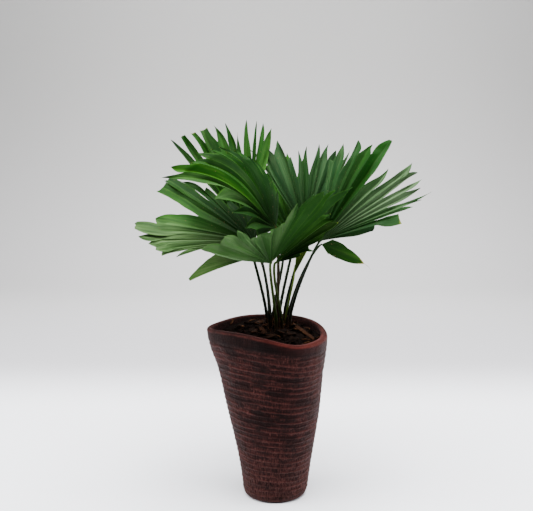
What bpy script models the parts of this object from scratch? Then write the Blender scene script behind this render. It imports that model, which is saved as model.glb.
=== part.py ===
"""Potted fan palm: a ribbed clay pot, soil, bark, eleven pleated fan fronds and a spear leaf.

Metres and degrees, +Z up. The origin is the middle of the pot's flat foot. +X runs to the right
of the plant's best side and +Y runs towards its back.
"""

import math
import random
from dataclasses import dataclass, field

import bmesh
import bpy
from mathutils import Matrix, Vector

# Pot
FOOT_RADIUS = 0.057
FOOT_ROUNDING = 0.009
POT_WALL = 0.007
POT_FLOOR = 0.012
RIM_CENTRE = Vector((-0.013, 0.010))
RIM_STEP = 30
# outer radius and height of the rim, every RIM_STEP degrees from +X round towards the back
RIM_RADII = (0.105, 0.105, 0.105, 0.096, 0.093, 0.096, 0.106, 0.091, 0.082, 0.089, 0.100, 0.104)
RIM_HEIGHTS = (
    0.2875, 0.2960, 0.3005, 0.3020, 0.3030, 0.3015,
    0.2995, 0.3005, 0.3000, 0.2960, 0.2880, 0.2870,
)
POT_SIDES = 24
RIB_PITCH = 0.0094
RIB_DEPTH = 0.0013
PLAIN_BAND = 0.028
FIRST_RIB = 0.014
INNER_HEIGHTS = (0.80, 0.52, 0.25)
# share of the rim's height and inset of each ring over the rounded lip
LIP = (
    (0.975, 0.0), (0.992, 0.0006), (1.0, POT_WALL * 0.35), (1.0, POT_WALL * 0.75),
    (0.988, POT_WALL),
)

# Soil and bark
SOIL_TOP = 0.258
CLEARANCE = 0.0003
BED_GAP = 0.0012
BED_SHARES = (1.0, 0.72, 0.44, 0.18)
BARK_LEVEL = 0.2815
BARK_SLOPE = Vector((-0.03, 0.07))
CROWN = Vector((0.006, 0.040))
HEAP_HEIGHT = 0.013
HEAP_WIDTH = 0.036
BANK_HEIGHT = 0.008
BANK_REACH = 0.090
BANK_SIDE = Vector((-0.500, 0.866))
CHIP_COUNT = 28
CHIP_LENGTH = (0.014, 0.032)
CHIP_WIDTH = (0.007, 0.012)
CHIP_THICKNESS = (0.003, 0.005)
LONG_CHIP = dict(
    centre=(0.056, 0.004), length=0.046, width=0.0085, thickness=0.004, turn=-50, tip=12, roll=6
)
CHIP_SEED = 11

# Stems
STEM_SIDES = 6
STEM_RINGS = 7
STEM_DEPTH = 0.045
HOLE_CLEARANCE = 0.0004
HOLE_SIDES = 8
SPINE_LENGTH = 0.0032
SPINE_RADIUS = 0.0008
SPINE_STEP = 0.017

# Blades
BLADE_THICKNESS = 0.0009
BLADE_START = 0.003
GREEN = (0.050, 0.170, 0.030)
BRIGHT_GREEN = (0.080, 0.230, 0.030)
DARK_GREEN = (0.025, 0.095, 0.020)
BLUE_GREEN = (0.090, 0.200, 0.110)
SPEAR_GREEN = (0.260, 0.330, 0.070)
FREE_STATIONS = (0.55, 1.0)
WHOLE_STATIONS = (0.0, 0.3, 0.6, 0.85, 1.0)
CURL_START = 0.045
CURL_END = 0.20


@dataclass
class Frond:
    """One frond: where its stem stands, where its blade starts and how the fan opens.

    Each tip is its turn from the blade's middle line and its length along the blade. A whole
    blade has no splits: its tips give its outline. The segments of a joined blade part late.
    cut gives the width of each tip that isn't pointed, and a high taper keeps segments broad.
    """

    name: str
    root: tuple
    heart: tuple
    heading: float
    rise: float
    roll: float
    tips: tuple
    curl: tuple = (15.0, 15.0)
    split: float = 0.58
    joined: bool = False
    whole: bool = False
    pleat: float = 0.30
    taper: float = 1.8
    stem: float = 0.0028
    spines: int = 6
    cut: dict = field(default_factory=dict)
    colour: tuple = GREEN
    seed: int = 1


FRONDS = (
    Frond(
        "frond_upper_left", (-0.014, 0.045), (-0.052, 0.085, 0.465), 112, 72, 0,
        ((-23, 0.204), (-18, 0.209), (-14, 0.207), (-9, 0.209), (-3, 0.176), (3, 0.200),
         (9, 0.202), (16, 0.198), (22, 0.199), (28, 0.203), (33, 0.212)),
        curl=(10, 15), cut={7: 0.7, 8: 0.5, 9: 0.5}, split=0.60, seed=11,
    ),
    Frond(
        "frond_back_right", (0.016, 0.058), (0.055, 0.100, 0.460), 80, 72, 5,
        ((-26, 0.171), (-18, 0.159), (-12, 0.166), (-6, 0.165), (2, 0.160), (8, 0.150),
         (14, 0.140), (20, 0.177), (30, 0.186), (37, 0.187)),
        curl=(12, 12), split=0.62, colour=BLUE_GREEN, seed=12,
    ),
    Frond(
        "frond_right", (0.026, 0.042), (0.078, 0.040, 0.450), 0, 35, 60,
        ((-26, 0.095), (-19, 0.146), (-15, 0.174), (-12, 0.191), (-9, 0.214), (-5, 0.200),
         (-1, 0.211), (3, 0.212), (8, 0.214), (15, 0.179), (24, 0.227), (31, 0.205),
         (39, 0.205), (46, 0.191), (52, 0.153)),
        curl=(10, 15), cut={1: 1.3, 10: 0.8}, split=0.62, colour=BLUE_GREEN, seed=13,
    ),
    Frond(
        "frond_centre_left", (0.004, 0.032), (0.001, 0.005, 0.480), 195, 58, -45,
        ((-59, 0.084), (-44, 0.104), (-34, 0.131), (-28, 0.137), (-22, 0.158), (-14, 0.175),
         (-5, 0.177), (3, 0.191), (11, 0.191), (18, 0.219), (24, 0.230), (34, 0.135),
         (43, 0.101), (58, 0.079), (76, 0.062)),
        curl=(35, 55), split=0.66, stem=0.0030, colour=BRIGHT_GREEN, seed=14,
    ),
    Frond(
        "frond_left", (-0.008, 0.036), (-0.037, 0.024, 0.452), 185, 10, -45,
        ((-105, 0.050), (-85, 0.065), (-70, 0.080), (-57, 0.098), (-48, 0.140), (-42, 0.188),
         (-36, 0.205), (-31, 0.202), (-8, 0.177), (-2, 0.210), (3, 0.202), (8, 0.184),
         (13, 0.172), (17, 0.164), (21, 0.140)),
        curl=(15, 15), cut={6: 0.6, 7: 0.8, 9: 0.8, 12: 0.6, 13: 0.7}, split=0.56,
        joined=True, taper=3.2, seed=15,
    ),
    Frond(
        "frond_front", (0.002, 0.021), (-0.009, -0.030, 0.424), -60, 52, 10,
        ((-61, 0.205), (-51, 0.176), (-44, 0.160), (-37, 0.110), (-22, 0.097), (-9, 0.100),
         (0, 0.142), (6, 0.170), (15, 0.169), (24, 0.173), (34, 0.191)),
        curl=(3, 3), split=0.80, colour=BRIGHT_GREEN, seed=33,
    ),
    Frond(
        "frond_front_right", (0.012, 0.028), (-0.001, -0.024, 0.424), -15, 35, 40,
        ((-22, 0.052), (-16, 0.069), (-6, 0.096), (2, 0.130), (9, 0.125), (17, 0.126),
         (30, 0.117)),
        curl=(15, 15), split=0.85, colour=DARK_GREEN, seed=31,
    ),
    Frond(
        "frond_low_left", (-0.010, 0.024), (-0.030, 0.004, 0.430), 200, -6, -35,
        ((-49, 0.026), (-37, 0.047), (-22, 0.066), (-13, 0.081), (-5, 0.097), (1, 0.113),
         (6, 0.130)),
        curl=(25, 25), whole=True, stem=0.0022, colour=DARK_GREEN, seed=18,
    ),
    Frond(
        "frond_low_right", (0.021, 0.033), (0.080, 0.020, 0.448), -10, -18, 55,
        ((-34, 0.022), (-21, 0.040), (-13, 0.061), (-5, 0.081), (3, 0.070), (12, 0.054),
         (28, 0.038), (40, 0.025)),
        curl=(20, 20), whole=True, stem=0.0022, colour=DARK_GREEN, seed=19,
    ),
    Frond(
        "frond_back", (0.007, 0.053), (0.036, 0.115, 0.442), 88, 58, 0,
        ((-62, 0.130), (-50, 0.150), (-39, 0.165), (-28, 0.180), (-17, 0.188), (-6, 0.190),
         (5, 0.190), (16, 0.188), (27, 0.180), (38, 0.165), (49, 0.150), (60, 0.135)),
        curl=(25, 25), seed=20,
    ),
    Frond(
        "frond_back_low", (-0.004, 0.056), (0.016, 0.100, 0.417), 110, -8, 0,
        ((-46, 0.140), (-35, 0.160), (-24, 0.172), (-13, 0.180), (-2, 0.182), (9, 0.180),
         (20, 0.175), (31, 0.165), (42, 0.150)),
        curl=(6, 6), seed=21,
    ),
    Frond(
        "spear_leaf", (0.019, 0.047), (0.034, 0.045, 0.388), -90, 78, 0,
        ((6, 0.050), (11, 0.066), (15, 0.078), (19, 0.072), (24, 0.055)),
        curl=(6, 6), whole=True, pleat=0.9, stem=0.0018, spines=0, colour=SPEAR_GREEN, seed=22,
    ),
)


def clear_scene():
    """Take every object out of the scene that this script runs in."""
    for obj in list(bpy.data.objects):
        bpy.data.objects.remove(obj, do_unlink=True)


def material(name, colour, roughness, metallic=0.0):
    """A plain material with the sub-part's colour and roughness."""
    made = bpy.data.materials.new(name)
    made.use_nodes = True
    shader = made.node_tree.nodes["Principled BSDF"]
    shader.inputs["Base Color"].default_value = (*colour, 1.0)
    shader.inputs["Roughness"].default_value = roughness
    shader.inputs["Metallic"].default_value = metallic
    return made


def mesh_object(name, points, faces, smooth=False):
    """A linked object of the given points and faces."""
    mesh = bpy.data.meshes.new(name)
    mesh.from_pydata([tuple(p) for p in points], [], faces)
    mesh.update()
    if smooth:
        mesh.shade_smooth()
    obj = bpy.data.objects.new(name, mesh)
    bpy.context.scene.collection.objects.link(obj)
    return obj


def combine(obj, others, operation, solver="MANIFOLD"):
    """Join the others to the object, or cut them from it, by one Boolean, and remove them."""
    group = bpy.data.collections.new(obj.name + "_others")
    bpy.context.scene.collection.children.link(group)
    for other in others:
        group.objects.link(other)
    boolean = obj.modifiers.new("combine", "BOOLEAN")
    boolean.operation = operation
    boolean.operand_type = "COLLECTION"
    boolean.collection = group
    boolean.solver = solver
    graph = bpy.context.evaluated_depsgraph_get()
    result = bpy.data.meshes.new_from_object(obj.evaluated_get(graph))
    obj.modifiers.clear()
    obj.data = result
    for other in others:
        bpy.data.objects.remove(other, do_unlink=True)
    bpy.data.collections.remove(group)


def keep_body(obj):
    """Keep the largest closed shell: sealed hollows are filled and loose scraps dropped."""
    body = bmesh.new()
    body.from_mesh(obj.data)
    left = set(body.verts)
    shells = []
    while left:
        shell = set()
        front = {left.pop()}
        while front:
            shell |= front
            front = {e.other_vert(v) for v in front for e in v.link_edges} - shell
        left -= shell
        shells.append(shell)
    keep = max(shells, key=len)
    bmesh.ops.delete(body, geom=[v for v in body.verts if v not in keep], context="VERTS")
    body.to_mesh(obj.data)
    body.free()


def round_curve(values, degrees):
    """A smooth closed curve through values that stand RIM_STEP degrees apart."""
    count = len(values)
    place = (degrees % 360) / RIM_STEP
    k = int(place)
    t = place - k
    a, b, c, d = (values[(k + i) % count] for i in (-1, 0, 1, 2))
    return b + 0.5 * t * (c - a + t * (2 * a - 5 * b + 4 * c - d + t * (3 * (b - c) + d - a)))


def rim_height(degrees):
    return round_curve(RIM_HEIGHTS, degrees)


def pot_point(degrees, height, inset=0.0):
    """A point of the pot's wall: height is its share of the rim's height, inset is inwards."""
    lean = 1.15 - 0.20 * math.cos(math.radians(degrees))
    share = max(height, 0.0) ** lean
    radius = FOOT_RADIUS + (round_curve(RIM_RADII, degrees) - FOOT_RADIUS) * share - inset
    centre = RIM_CENTRE * share
    turn = math.radians(degrees)
    z = rim_height(degrees) * height
    return Vector((centre.x + radius * math.cos(turn), centre.y + radius * math.sin(turn), z))


def ring_shell(name, rings):
    """A closed body of stacked rings with flat ends."""
    sides = len(rings[0])
    points = [p for ring in rings for p in ring]
    faces = [tuple(reversed(range(sides)))]
    for r in range(len(rings) - 1):
        low = r * sides
        high = low + sides
        for i in range(sides):
            j = (i + 1) % sides
            faces.append((low + i, low + j, high + j))
            faces.append((low + i, high + j, high + i))
    faces.append(tuple(range(len(points) - sides, len(points))))
    return mesh_object(name, points, faces, smooth=True)


def pot_ring(height, inset, lift=0.0, sides=POT_SIDES):
    ring = []
    for i in range(sides):
        point = pot_point(360 * i / sides, height, inset)
        point.z += lift
        ring.append(point)
    return ring


def rib_heights():
    """Shares of the rim's height where the ribs stand."""
    top = 1.0 - PLAIN_BAND / rim_height(180)
    first = FIRST_RIB / rim_height(180)
    count = round((top - first) * rim_height(180) / RIB_PITCH)
    return [first + (top - first) * k / count for k in range(count + 1)]


def build_pot():
    """The hollow vase: flat foot, ribs round the wall, plain band and rounded rim."""
    rings = [
        flat_ring(FOOT_RADIUS - FOOT_ROUNDING, 0.0),
        flat_ring(FOOT_RADIUS - FOOT_ROUNDING * 0.3, FOOT_ROUNDING * 0.3),
    ]
    ribs = rib_heights()
    gap = (ribs[1] - ribs[0]) / 2
    for rib in ribs:
        rings.append(pot_ring(rib - gap, RIB_DEPTH))
        rings.append(pot_ring(rib, 0.0))
    rings.append(pot_ring(ribs[-1] + gap, RIB_DEPTH * 0.6))
    rings += [pot_ring(height, inset) for height, inset in LIP]
    rings += [pot_ring(height, POT_WALL) for height in INNER_HEIGHTS]
    rings.append(flat_ring(FOOT_RADIUS - POT_WALL, POT_FLOOR))
    pot = ring_shell("pot", rings)
    pot.data.materials.append(material("clay", (0.075, 0.018, 0.016), 0.7))
    return pot


def flat_ring(radius, z, sides=POT_SIDES):
    turns = (2 * math.pi * i / sides for i in range(sides))
    return [Vector((radius * math.cos(t), radius * math.sin(t), z)) for t in turns]


def inner_point(degrees, z, gap):
    """The point of the pot's inner wall at a level, moved inwards by a gap."""
    return pot_point(degrees, z / rim_height(degrees), POT_WALL + gap)


def build_soil(cutters):
    """The soil: it fills the pot from its floor to under the bark."""
    rings = [flat_ring(FOOT_RADIUS - POT_WALL - BED_GAP, POT_FLOOR + CLEARANCE)]
    rings += [pot_ring(height, POT_WALL + BED_GAP) for height in INNER_HEIGHTS[::-1]]
    rings.append([inner_point(360 * i / POT_SIDES, SOIL_TOP, BED_GAP) for i in range(POT_SIDES)])
    soil = ring_shell("soil", rings)
    combine(soil, cutters, "DIFFERENCE")
    soil.data.materials.clear()
    soil.data.materials.append(material("soil", (0.02, 0.012, 0.008), 0.95))
    return soil


def bark_height(x, y):
    """The bark's level: tilted as the rim is, heaped round the stems and banked up behind."""
    offset = Vector((x, y)) - RIM_CENTRE
    distance = (Vector((x, y)) - CROWN).length
    heap = HEAP_HEIGHT * math.exp(-((distance / HEAP_WIDTH) ** 2) / 2)
    bank = min(max(offset.dot(BANK_SIDE) / BANK_REACH, 0.0), 1.0)
    return BARK_LEVEL + BARK_SLOPE.dot(offset) + heap + BANK_HEIGHT * bank**3


def bark_edge(degrees, gap):
    """The place where the bark's level meets the pot's inner wall, less a gap."""
    point = inner_point(degrees, BARK_LEVEL, gap)
    for _ in range(3):
        point = inner_point(degrees, bark_height(point.x, point.y), gap)
    return Vector((point.x, point.y))


def bark_bed():
    """The bark's own body: a bed that fills the pot's mouth over the soil."""
    turns = [360 * i / POT_SIDES for i in range(POT_SIDES)]
    points = [inner_point(turn, SOIL_TOP + CLEARANCE, BED_GAP) for turn in turns]
    centre = RIM_CENTRE
    for share in BED_SHARES:
        for turn in turns:
            flat = centre + (bark_edge(turn, BED_GAP) - centre) * share
            points.append(Vector((flat.x, flat.y, bark_height(flat.x, flat.y))))
    points.append(Vector((centre.x, centre.y, bark_height(centre.x, centre.y))))
    faces = [tuple(reversed(range(POT_SIDES)))]
    for r in range(len(BED_SHARES)):
        low = r * POT_SIDES
        for i in range(POT_SIDES):
            j = (i + 1) % POT_SIDES
            faces.append((low + i, low + j, low + POT_SIDES + j))
            faces.append((low + i, low + POT_SIDES + j, low + POT_SIDES + i))
    last = len(BED_SHARES) * POT_SIDES
    for i in range(POT_SIDES):
        faces.append((last + i, last + (i + 1) % POT_SIDES, len(points) - 1))
    return mesh_object("bark_mulch", points, faces)


def chip(centre, length, width, thickness, turn, tip, roll, draw):
    """One bark chip: a slab with uneven ends, sunk in the bed by half its thickness."""
    corners = []
    for z in (-0.5, 0.5):
        for x, y in ((-0.5, -0.5), (0.5, -0.5), (0.5, 0.5), (-0.5, 0.5)):
            uneven = 1 + draw.uniform(-0.28, 0.12)
            corners.append(Vector((x * length * uneven, y * width * uneven, z * thickness)))
    place = Matrix.Translation((*centre, bark_height(*centre) + thickness * 0.15))
    place = place @ Matrix.Rotation(math.radians(turn), 4, "Z")
    place = place @ Matrix.Rotation(math.radians(tip), 4, "Y")
    place = place @ Matrix.Rotation(math.radians(roll), 4, "X")
    points = [place @ corner for corner in corners]
    faces = ((3, 2, 1, 0), (4, 5, 6, 7), (0, 1, 5, 4), (1, 2, 6, 5), (2, 3, 7, 6), (3, 0, 4, 7))
    return mesh_object("chip", points, faces)


def wall_room(x, y):
    """How far a place lies inside the pot's inner wall at the bark's level."""
    degrees = math.degrees(math.atan2(y - RIM_CENTRE.y, x - RIM_CENTRE.x))
    wall = inner_point(degrees, BARK_LEVEL, 0.0)
    flat = Vector((wall.x, wall.y)) - RIM_CENTRE
    return flat.length - (Vector((x, y)) - RIM_CENTRE).length


def chip_list():
    """Where each chip lies: the long chip first, then chips drawn over the whole bed."""
    draw = random.Random(CHIP_SEED)
    chips = [LONG_CHIP]
    while len(chips) < CHIP_COUNT:
        x = RIM_CENTRE.x + draw.uniform(-0.095, 0.095)
        y = RIM_CENTRE.y + draw.uniform(-0.095, 0.095)
        length = draw.uniform(*CHIP_LENGTH)
        spec = dict(
            centre=(x, y), length=length, width=draw.uniform(*CHIP_WIDTH),
            thickness=draw.uniform(*CHIP_THICKNESS), turn=draw.uniform(0, 180),
            tip=draw.uniform(-16, 16), roll=draw.uniform(-20, 20),
        )
        if wall_room(x, y) > 0.5 * math.hypot(length, spec["width"]) + 0.003:
            chips.append(spec)
    return chips


def build_bark(cutters):
    """The bark mulch: one loose layer, its chips joined where they touch, holes for the stems."""
    draw = random.Random(CHIP_SEED + 1)
    bed = bark_bed()
    combine(bed, [chip(draw=draw, **spec) for spec in chip_list()], "UNION")
    combine(bed, cutters, "DIFFERENCE")
    keep_body(bed)
    bed.data.materials.clear()
    bed.data.materials.append(material("bark", (0.035, 0.014, 0.008), 0.9))
    return bed


def fan_axes(frond):
    """The blade's middle direction, its sideways direction and its upper face's normal."""
    heading, rise, roll = (math.radians(v) for v in (frond.heading, frond.rise, frond.roll))
    along = Vector((
        math.cos(rise) * math.cos(heading),
        math.cos(rise) * math.sin(heading),
        math.sin(rise),
    ))
    level = Vector((-math.sin(heading), math.cos(heading), 0.0))
    up = along.cross(level)
    return (
        along,
        level * math.cos(roll) + up * math.sin(roll),
        up * math.cos(roll) - level * math.sin(roll),
    )


def across_fan(frond, ends, degrees):
    """A value that runs evenly from the fan's first tip to its last."""
    first, last = frond.tips[0][0], frond.tips[-1][0]
    share = min(max((degrees - first) / (last - first), 0.0), 1.0)
    return ends[0] + (ends[1] - ends[0]) * share


def blade_point(frond, degrees, reach):
    """A point of the smooth blade: fan angle, and distance from the heart along the blade."""
    along, across, normal = fan_axes(frond)
    turn = math.radians(degrees)
    out = along * math.cos(turn) + across * math.sin(turn)
    bend = math.radians(across_fan(frond, frond.curl, degrees)) / (CURL_END - CURL_START)
    point = out * min(reach, CURL_START)
    if reach > CURL_START:
        end = bend * (reach - CURL_START)
        point += out * (math.sin(end) / bend)
        point += normal * ((math.cos(end) - 1) / bend)
    return Vector(frond.heart) + point


def blade_normal(frond, degrees, reach):
    """The smooth blade's normal, from two short steps along its surface."""
    step = 0.0005
    reach = max(reach, 0.004)
    here = blade_point(frond, degrees, reach)
    outward = blade_point(frond, degrees, reach + step) - here
    sideways = blade_point(frond, degrees + math.degrees(step / reach), reach) - here
    return outward.cross(sideways).normalized()


class Segments:
    """The fan's segments: where each rib runs, how deep each split is and how each tip bends."""

    def __init__(self, frond):
        draw = random.Random(frond.seed)
        self.frond = frond
        self.count = count = len(frond.tips)
        self.turns = [turn for turn, _ in frond.tips]
        self.lengths = [length for _, length in frond.tips]
        self.step = (self.turns[-1] - self.turns[0]) / (count - 1)
        self.lifts = [draw.uniform(-0.04, 0.02) for _ in range(count)]
        self.drifts = [draw.uniform(-0.3, 0.3) * self.step for _ in range(count)]
        often = 3 if frond.joined else 2
        self.splits = [1] + [draw.choice((2, often, 3)) for _ in range(count - 1)] + [1]
        for j in range(1, count):
            if self.turns[j] - self.turns[j - 1] > 2.2 * self.step:
                self.splits[j] = 2
        split = frond.split
        self.stations = (0.0, split / 2, split, *(split + (1 - split) * f for f in FREE_STATIONS))
        if frond.whole:
            self.stations = WHOLE_STATIONS
            self.lifts = self.drifts = [0.0] * count
            self.splits = [len(WHOLE_STATIONS) - 1] * (count + 1)
        self.ribs = [turn - drift for turn, drift in zip(self.turns, self.drifts)]

    def side_angle(self, j):
        """The turn of side line j, halfway between two ribs."""
        if j == 0:
            return self.ribs[0] - min(self.step, self.ribs[1] - self.ribs[0]) / 2
        if j == self.count:
            return self.ribs[-1] + min(self.step, self.ribs[-1] - self.ribs[-2]) / 2
        return (self.ribs[j - 1] + self.ribs[j]) / 2

    def side_length(self, j):
        return (self.lengths[max(j - 1, 0)] + self.lengths[min(j, self.count - 1)]) / 2

    def split_share(self, j):
        """Where side line j parts, as a share of the blade's length. The fan's ends part early."""
        return self.stations[self.splits[j]]

    def tip_width(self, i):
        return 1.0 if self.frond.whole else self.frond.cut.get(i, 0.0)

    def place(self, i, j, share):
        """A point of segment i, on its rib where j is None or else on its side line j."""
        frond = self.frond
        length = self.lengths[i]
        near, far = self.split_share(i), self.split_share(i + 1)
        parted = min(near, far) if j is None else self.split_share(j)
        free = (share - parted) / (1.0 - parted) if share > parted else 0.0
        narrow = 1.0
        if free > 0:
            narrow = (parted / share) ** 0.5 * (1 - (1 - self.tip_width(i)) * free**frond.taper)
        half = (self.side_angle(i + 1) - self.side_angle(i)) / 2
        edge = 0.0
        reach = length * share
        if j is not None:
            edge = self.side_angle(j) - self.ribs[i]
            wide = 0.6 * self.step
            if abs(edge) > wide:
                edge += (math.copysign(wide, edge) - edge) * min(1.0, 2 * free)
            half = abs(edge)
            reach = (self.side_length(j) * (1 - free) + length * free) * share
        angle = self.ribs[i] + edge * narrow + self.drifts[i] * free**2
        width = 2 * math.radians(min(half, self.step)) * narrow * reach
        pleat = frond.pleat * width * (-0.5 if j is None else 0.5)
        reach = max(reach, BLADE_START)
        normal = blade_normal(frond, angle, reach)
        lift = self.lifts[i] * length * free**2
        return blade_point(frond, angle, reach) + normal * (pleat + lift), normal


def build_blade(frond):
    """The pleated, split fan as one thin closed body, split into triangles alike on both faces."""
    segments = Segments(frond)
    points = []
    index = {}
    last = len(segments.stations) - 1

    def corner(i, j, k):
        pointed = k == last and segments.tip_width(i) == 0.0
        if j is None or pointed:
            key = ("rib", i, k)
        elif 0 < j < segments.count and k <= segments.splits[j]:
            key = ("side", j, k)
        else:
            key = ("edge", i, j, k)
        if key not in index:
            on_rib = None if key[0] == "rib" else j
            owner = j - 1 if key[0] == "side" else i
            place, normal = segments.place(owner, on_rib, segments.stations[k])
            index[key] = len(points) // 2
            points.append(place + normal * BLADE_THICKNESS / 2)
            points.append(place - normal * BLADE_THICKNESS / 2)
        return index[key]

    upper = []
    for i in range(segments.count):
        for low, high in ((i, None), (None, i + 1)):
            for k in range(last):
                a, b = corner(i, low, k), corner(i, low, k + 1)
                c, d = corner(i, high, k + 1), corner(i, high, k)
                upper += [t for t in ((a, b, c), (a, c, d)) if len(set(t)) == 3]
    faces = [tuple(2 * v for v in t) for t in upper]
    faces += [tuple(2 * v + 1 for v in reversed(t)) for t in upper]
    edges = {(t[n], t[(n + 1) % 3]) for t in upper for n in range(3)}
    for a, b in sorted(edges):
        if (b, a) not in edges:
            faces.append((2 * b, 2 * a, 2 * a + 1))
            faces.append((2 * b, 2 * a + 1, 2 * b + 1))
    return mesh_object(frond.name, points, faces)


def stem_path(frond, share):
    """The stem's middle line from the bark to the blade's heart."""
    root = Vector((*frond.root, bark_height(*frond.root) + 0.006))
    heart = Vector(frond.heart)
    along = fan_axes(frond)[0]
    rise = (heart - root).length
    first = root + Vector((0, 0, 0.22 * rise))
    second = heart - (along * 0.5 + (heart - root).normalized()).normalized() * 0.22 * rise
    s = 1 - share
    return root * s**3 + first * 3 * s**2 * share + second * 3 * s * share**2 + heart * share**3


def tube(name, path, radii, sides):
    """A round tube along a path, with flat ends."""
    rings = []
    side = Vector((0, 1, 0))
    for n, centre in enumerate(path):
        ahead = path[min(n + 1, len(path) - 1)] - path[max(n - 1, 0)]
        ahead.normalize()
        side = (side - ahead * side.dot(ahead)).normalized()
        other = ahead.cross(side)
        turns = (2 * math.pi * i / sides for i in range(sides))
        rings.append(
            [centre + (side * math.cos(t) + other * math.sin(t)) * radii[n] for t in turns]
        )
    return ring_shell(name, rings)


def build_stem(frond):
    """The petiole: it stands in the soil, bows out and ends as a short rib under the blade."""
    path = [stem_path(frond, n / STEM_RINGS) for n in range(STEM_RINGS + 1)]
    foot = path[0] - Vector((0, 0, STEM_DEPTH))
    along, _, normal = fan_axes(frond)
    path.insert(0, foot)
    path[-1] = path[-1] - normal * frond.stem * 0.35
    path.append(Vector(frond.heart) + along * 0.012 - normal * 0.0008)
    last = len(path) - 1
    radii = [frond.stem * (1.12 - 0.42 * n / last) for n in range(last)] + [0.0009]
    return tube("stem", path, radii, STEM_SIDES)


def stem_width(frond, share):
    last = STEM_RINGS + 2
    return frond.stem * (1.12 - 0.42 * (1 + share * STEM_RINGS) / last)


def build_spines(frond):
    """The short hooked spines along both edges of the stem."""
    spines = []
    heart = Vector(frond.heart)
    level = fan_axes(frond)[1]
    length = (heart - stem_path(frond, 0.0)).length
    for n in range(frond.spines):
        share = (0.022 + SPINE_STEP * (n // 2) + 0.5 * SPINE_STEP * (n % 2)) / length
        centre = stem_path(frond, share)
        ahead = (stem_path(frond, share + 0.02) - centre).normalized()
        side = (level - ahead * level.dot(ahead)).normalized() * (1 if n % 2 else -1)
        radius = stem_width(frond, share)
        root = centre + side * (radius - 0.0012)
        tip = centre + side * (radius + SPINE_LENGTH) - ahead * SPINE_LENGTH * 0.4
        other = side.cross(ahead)
        turns = (2 * math.pi * i / 3 for i in range(3))
        base = [root + (ahead * math.cos(t) + other * math.sin(t)) * SPINE_RADIUS for t in turns]
        faces = ((0, 1, 2), (1, 0, 3), (2, 1, 3), (0, 2, 3))
        spines.append(outward(mesh_object("spine", [*base, tip], faces)))
    return spines


def outward(obj):
    """Turn the faces so that they point out of the body."""
    body = bmesh.new()
    body.from_mesh(obj.data)
    bmesh.ops.recalc_face_normals(body, faces=body.faces)
    body.to_mesh(obj.data)
    body.free()
    return obj


def build_frond(frond):
    blade = build_blade(frond)
    combine(blade, [build_stem(frond), *build_spines(frond)], "UNION")
    blade.data.materials.clear()
    blade.data.materials.append(material("leaf_" + frond.name, frond.colour, 0.45))
    return blade


def hole_cutters():
    """A plain upright hole for each stem, through the bark and into the soil."""
    cutters = []
    for frond in FRONDS:
        top = stem_path(frond, 0.0)
        radius = frond.stem * 1.12 + HOLE_CLEARANCE
        low = top - Vector((0, 0, STEM_DEPTH + HOLE_CLEARANCE))
        cutters.append(tube("hole", [low, top + Vector((0, 0, 0.02))], [radius] * 2, HOLE_SIDES))
    return cutters


def build_all():
    clear_scene()
    build_pot()
    build_soil(hole_cutters())
    build_bark(hole_cutters())
    for frond in FRONDS:
        build_frond(frond)


build_all()
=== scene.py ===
"""Potted fan palm in a plain studio: fine leaves, stems, bark and clay in place of the solids.

The leaf, stem and pot formulas and their random draws are those of the solids, at a finer pitch.
Metres and degrees, +Z up. The origin is the middle of the pot's flat foot.
"""

import math
import random
from dataclasses import dataclass, field

import bpy
from mathutils import Matrix, Vector, noise


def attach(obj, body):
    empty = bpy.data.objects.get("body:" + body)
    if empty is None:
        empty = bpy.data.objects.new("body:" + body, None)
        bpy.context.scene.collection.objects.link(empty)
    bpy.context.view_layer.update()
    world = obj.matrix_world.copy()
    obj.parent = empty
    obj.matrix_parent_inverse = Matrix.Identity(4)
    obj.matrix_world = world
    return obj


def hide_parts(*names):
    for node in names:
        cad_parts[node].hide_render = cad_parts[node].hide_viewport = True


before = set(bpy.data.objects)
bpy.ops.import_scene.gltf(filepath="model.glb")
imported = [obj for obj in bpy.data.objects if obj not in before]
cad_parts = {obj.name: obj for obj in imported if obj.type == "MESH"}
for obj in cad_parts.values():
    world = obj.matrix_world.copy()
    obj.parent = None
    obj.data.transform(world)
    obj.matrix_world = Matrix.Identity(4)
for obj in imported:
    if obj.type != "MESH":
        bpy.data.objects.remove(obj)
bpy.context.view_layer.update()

# Pot. A row round the rim has a value for every RIM_STEP degrees, from +X.
FOOT_RADIUS = 0.057
FOOT_ROUNDING = 0.009
FOOT_EASE = 0.0008
POT_WALL = 0.007
POT_FLOOR = 0.012
RIM_CENTRE = Vector((-0.013, 0.010))
RIM_STEP = 30
RIM_RADII = (0.105, 0.105, 0.105, 0.096, 0.093, 0.096, 0.106, 0.091, 0.082, 0.089, 0.100, 0.104)
RIM_HEIGHTS = (
    0.2875, 0.2960, 0.3005, 0.3020, 0.3030, 0.3015,
    0.2995, 0.3005, 0.3000, 0.2960, 0.2880, 0.2870,
)
WALL_LEAN = 1.15
LEAN_SWING = 0.20
RIB_PITCH = 0.0094
RIB_DEPTH = 0.0013
COMB_DEPTH = 0.0007
WALL_WEAR = 0.0003
PLAIN_BAND = 0.028
FIRST_RIB = 0.014
POT_SIDES = 288
WALL_RINGS = 280
FOOT_RINGS = 6
WALL_SPAN = (0.032, 0.978)
LIP_RINGS = 12
LIP_SHARE = 0.012
LIP_DARK = 0.28
LIP_WEAR = 0.0003
LIP_RISE = (0.0045, 0.0020, 0, 0, 0, 0, 0.0020, 0.0065, 0.0075, 0.0070, 0.0045, 0.0040)
LIP_BULGE = (0.0050, 0.0020, 0, 0, 0, 0, 0.0005, 0.0016, 0.0016, 0.0020, 0.0040, 0.0060)
INNER_RINGS = 13
INNER_DROP = 0.15
INNER_HEIGHTS = (0.80, 0.52, 0.25)
# Painted shade inside the pot: darker down the inner wall, darkest in its lower part and on its floor.
INNER_SHADE = (0.15, 0.85)
INNER_WAVE = 0.0002
DEEP_SHADE = 0.9
SHOULDER = (0.0018, 0.0052)
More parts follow.
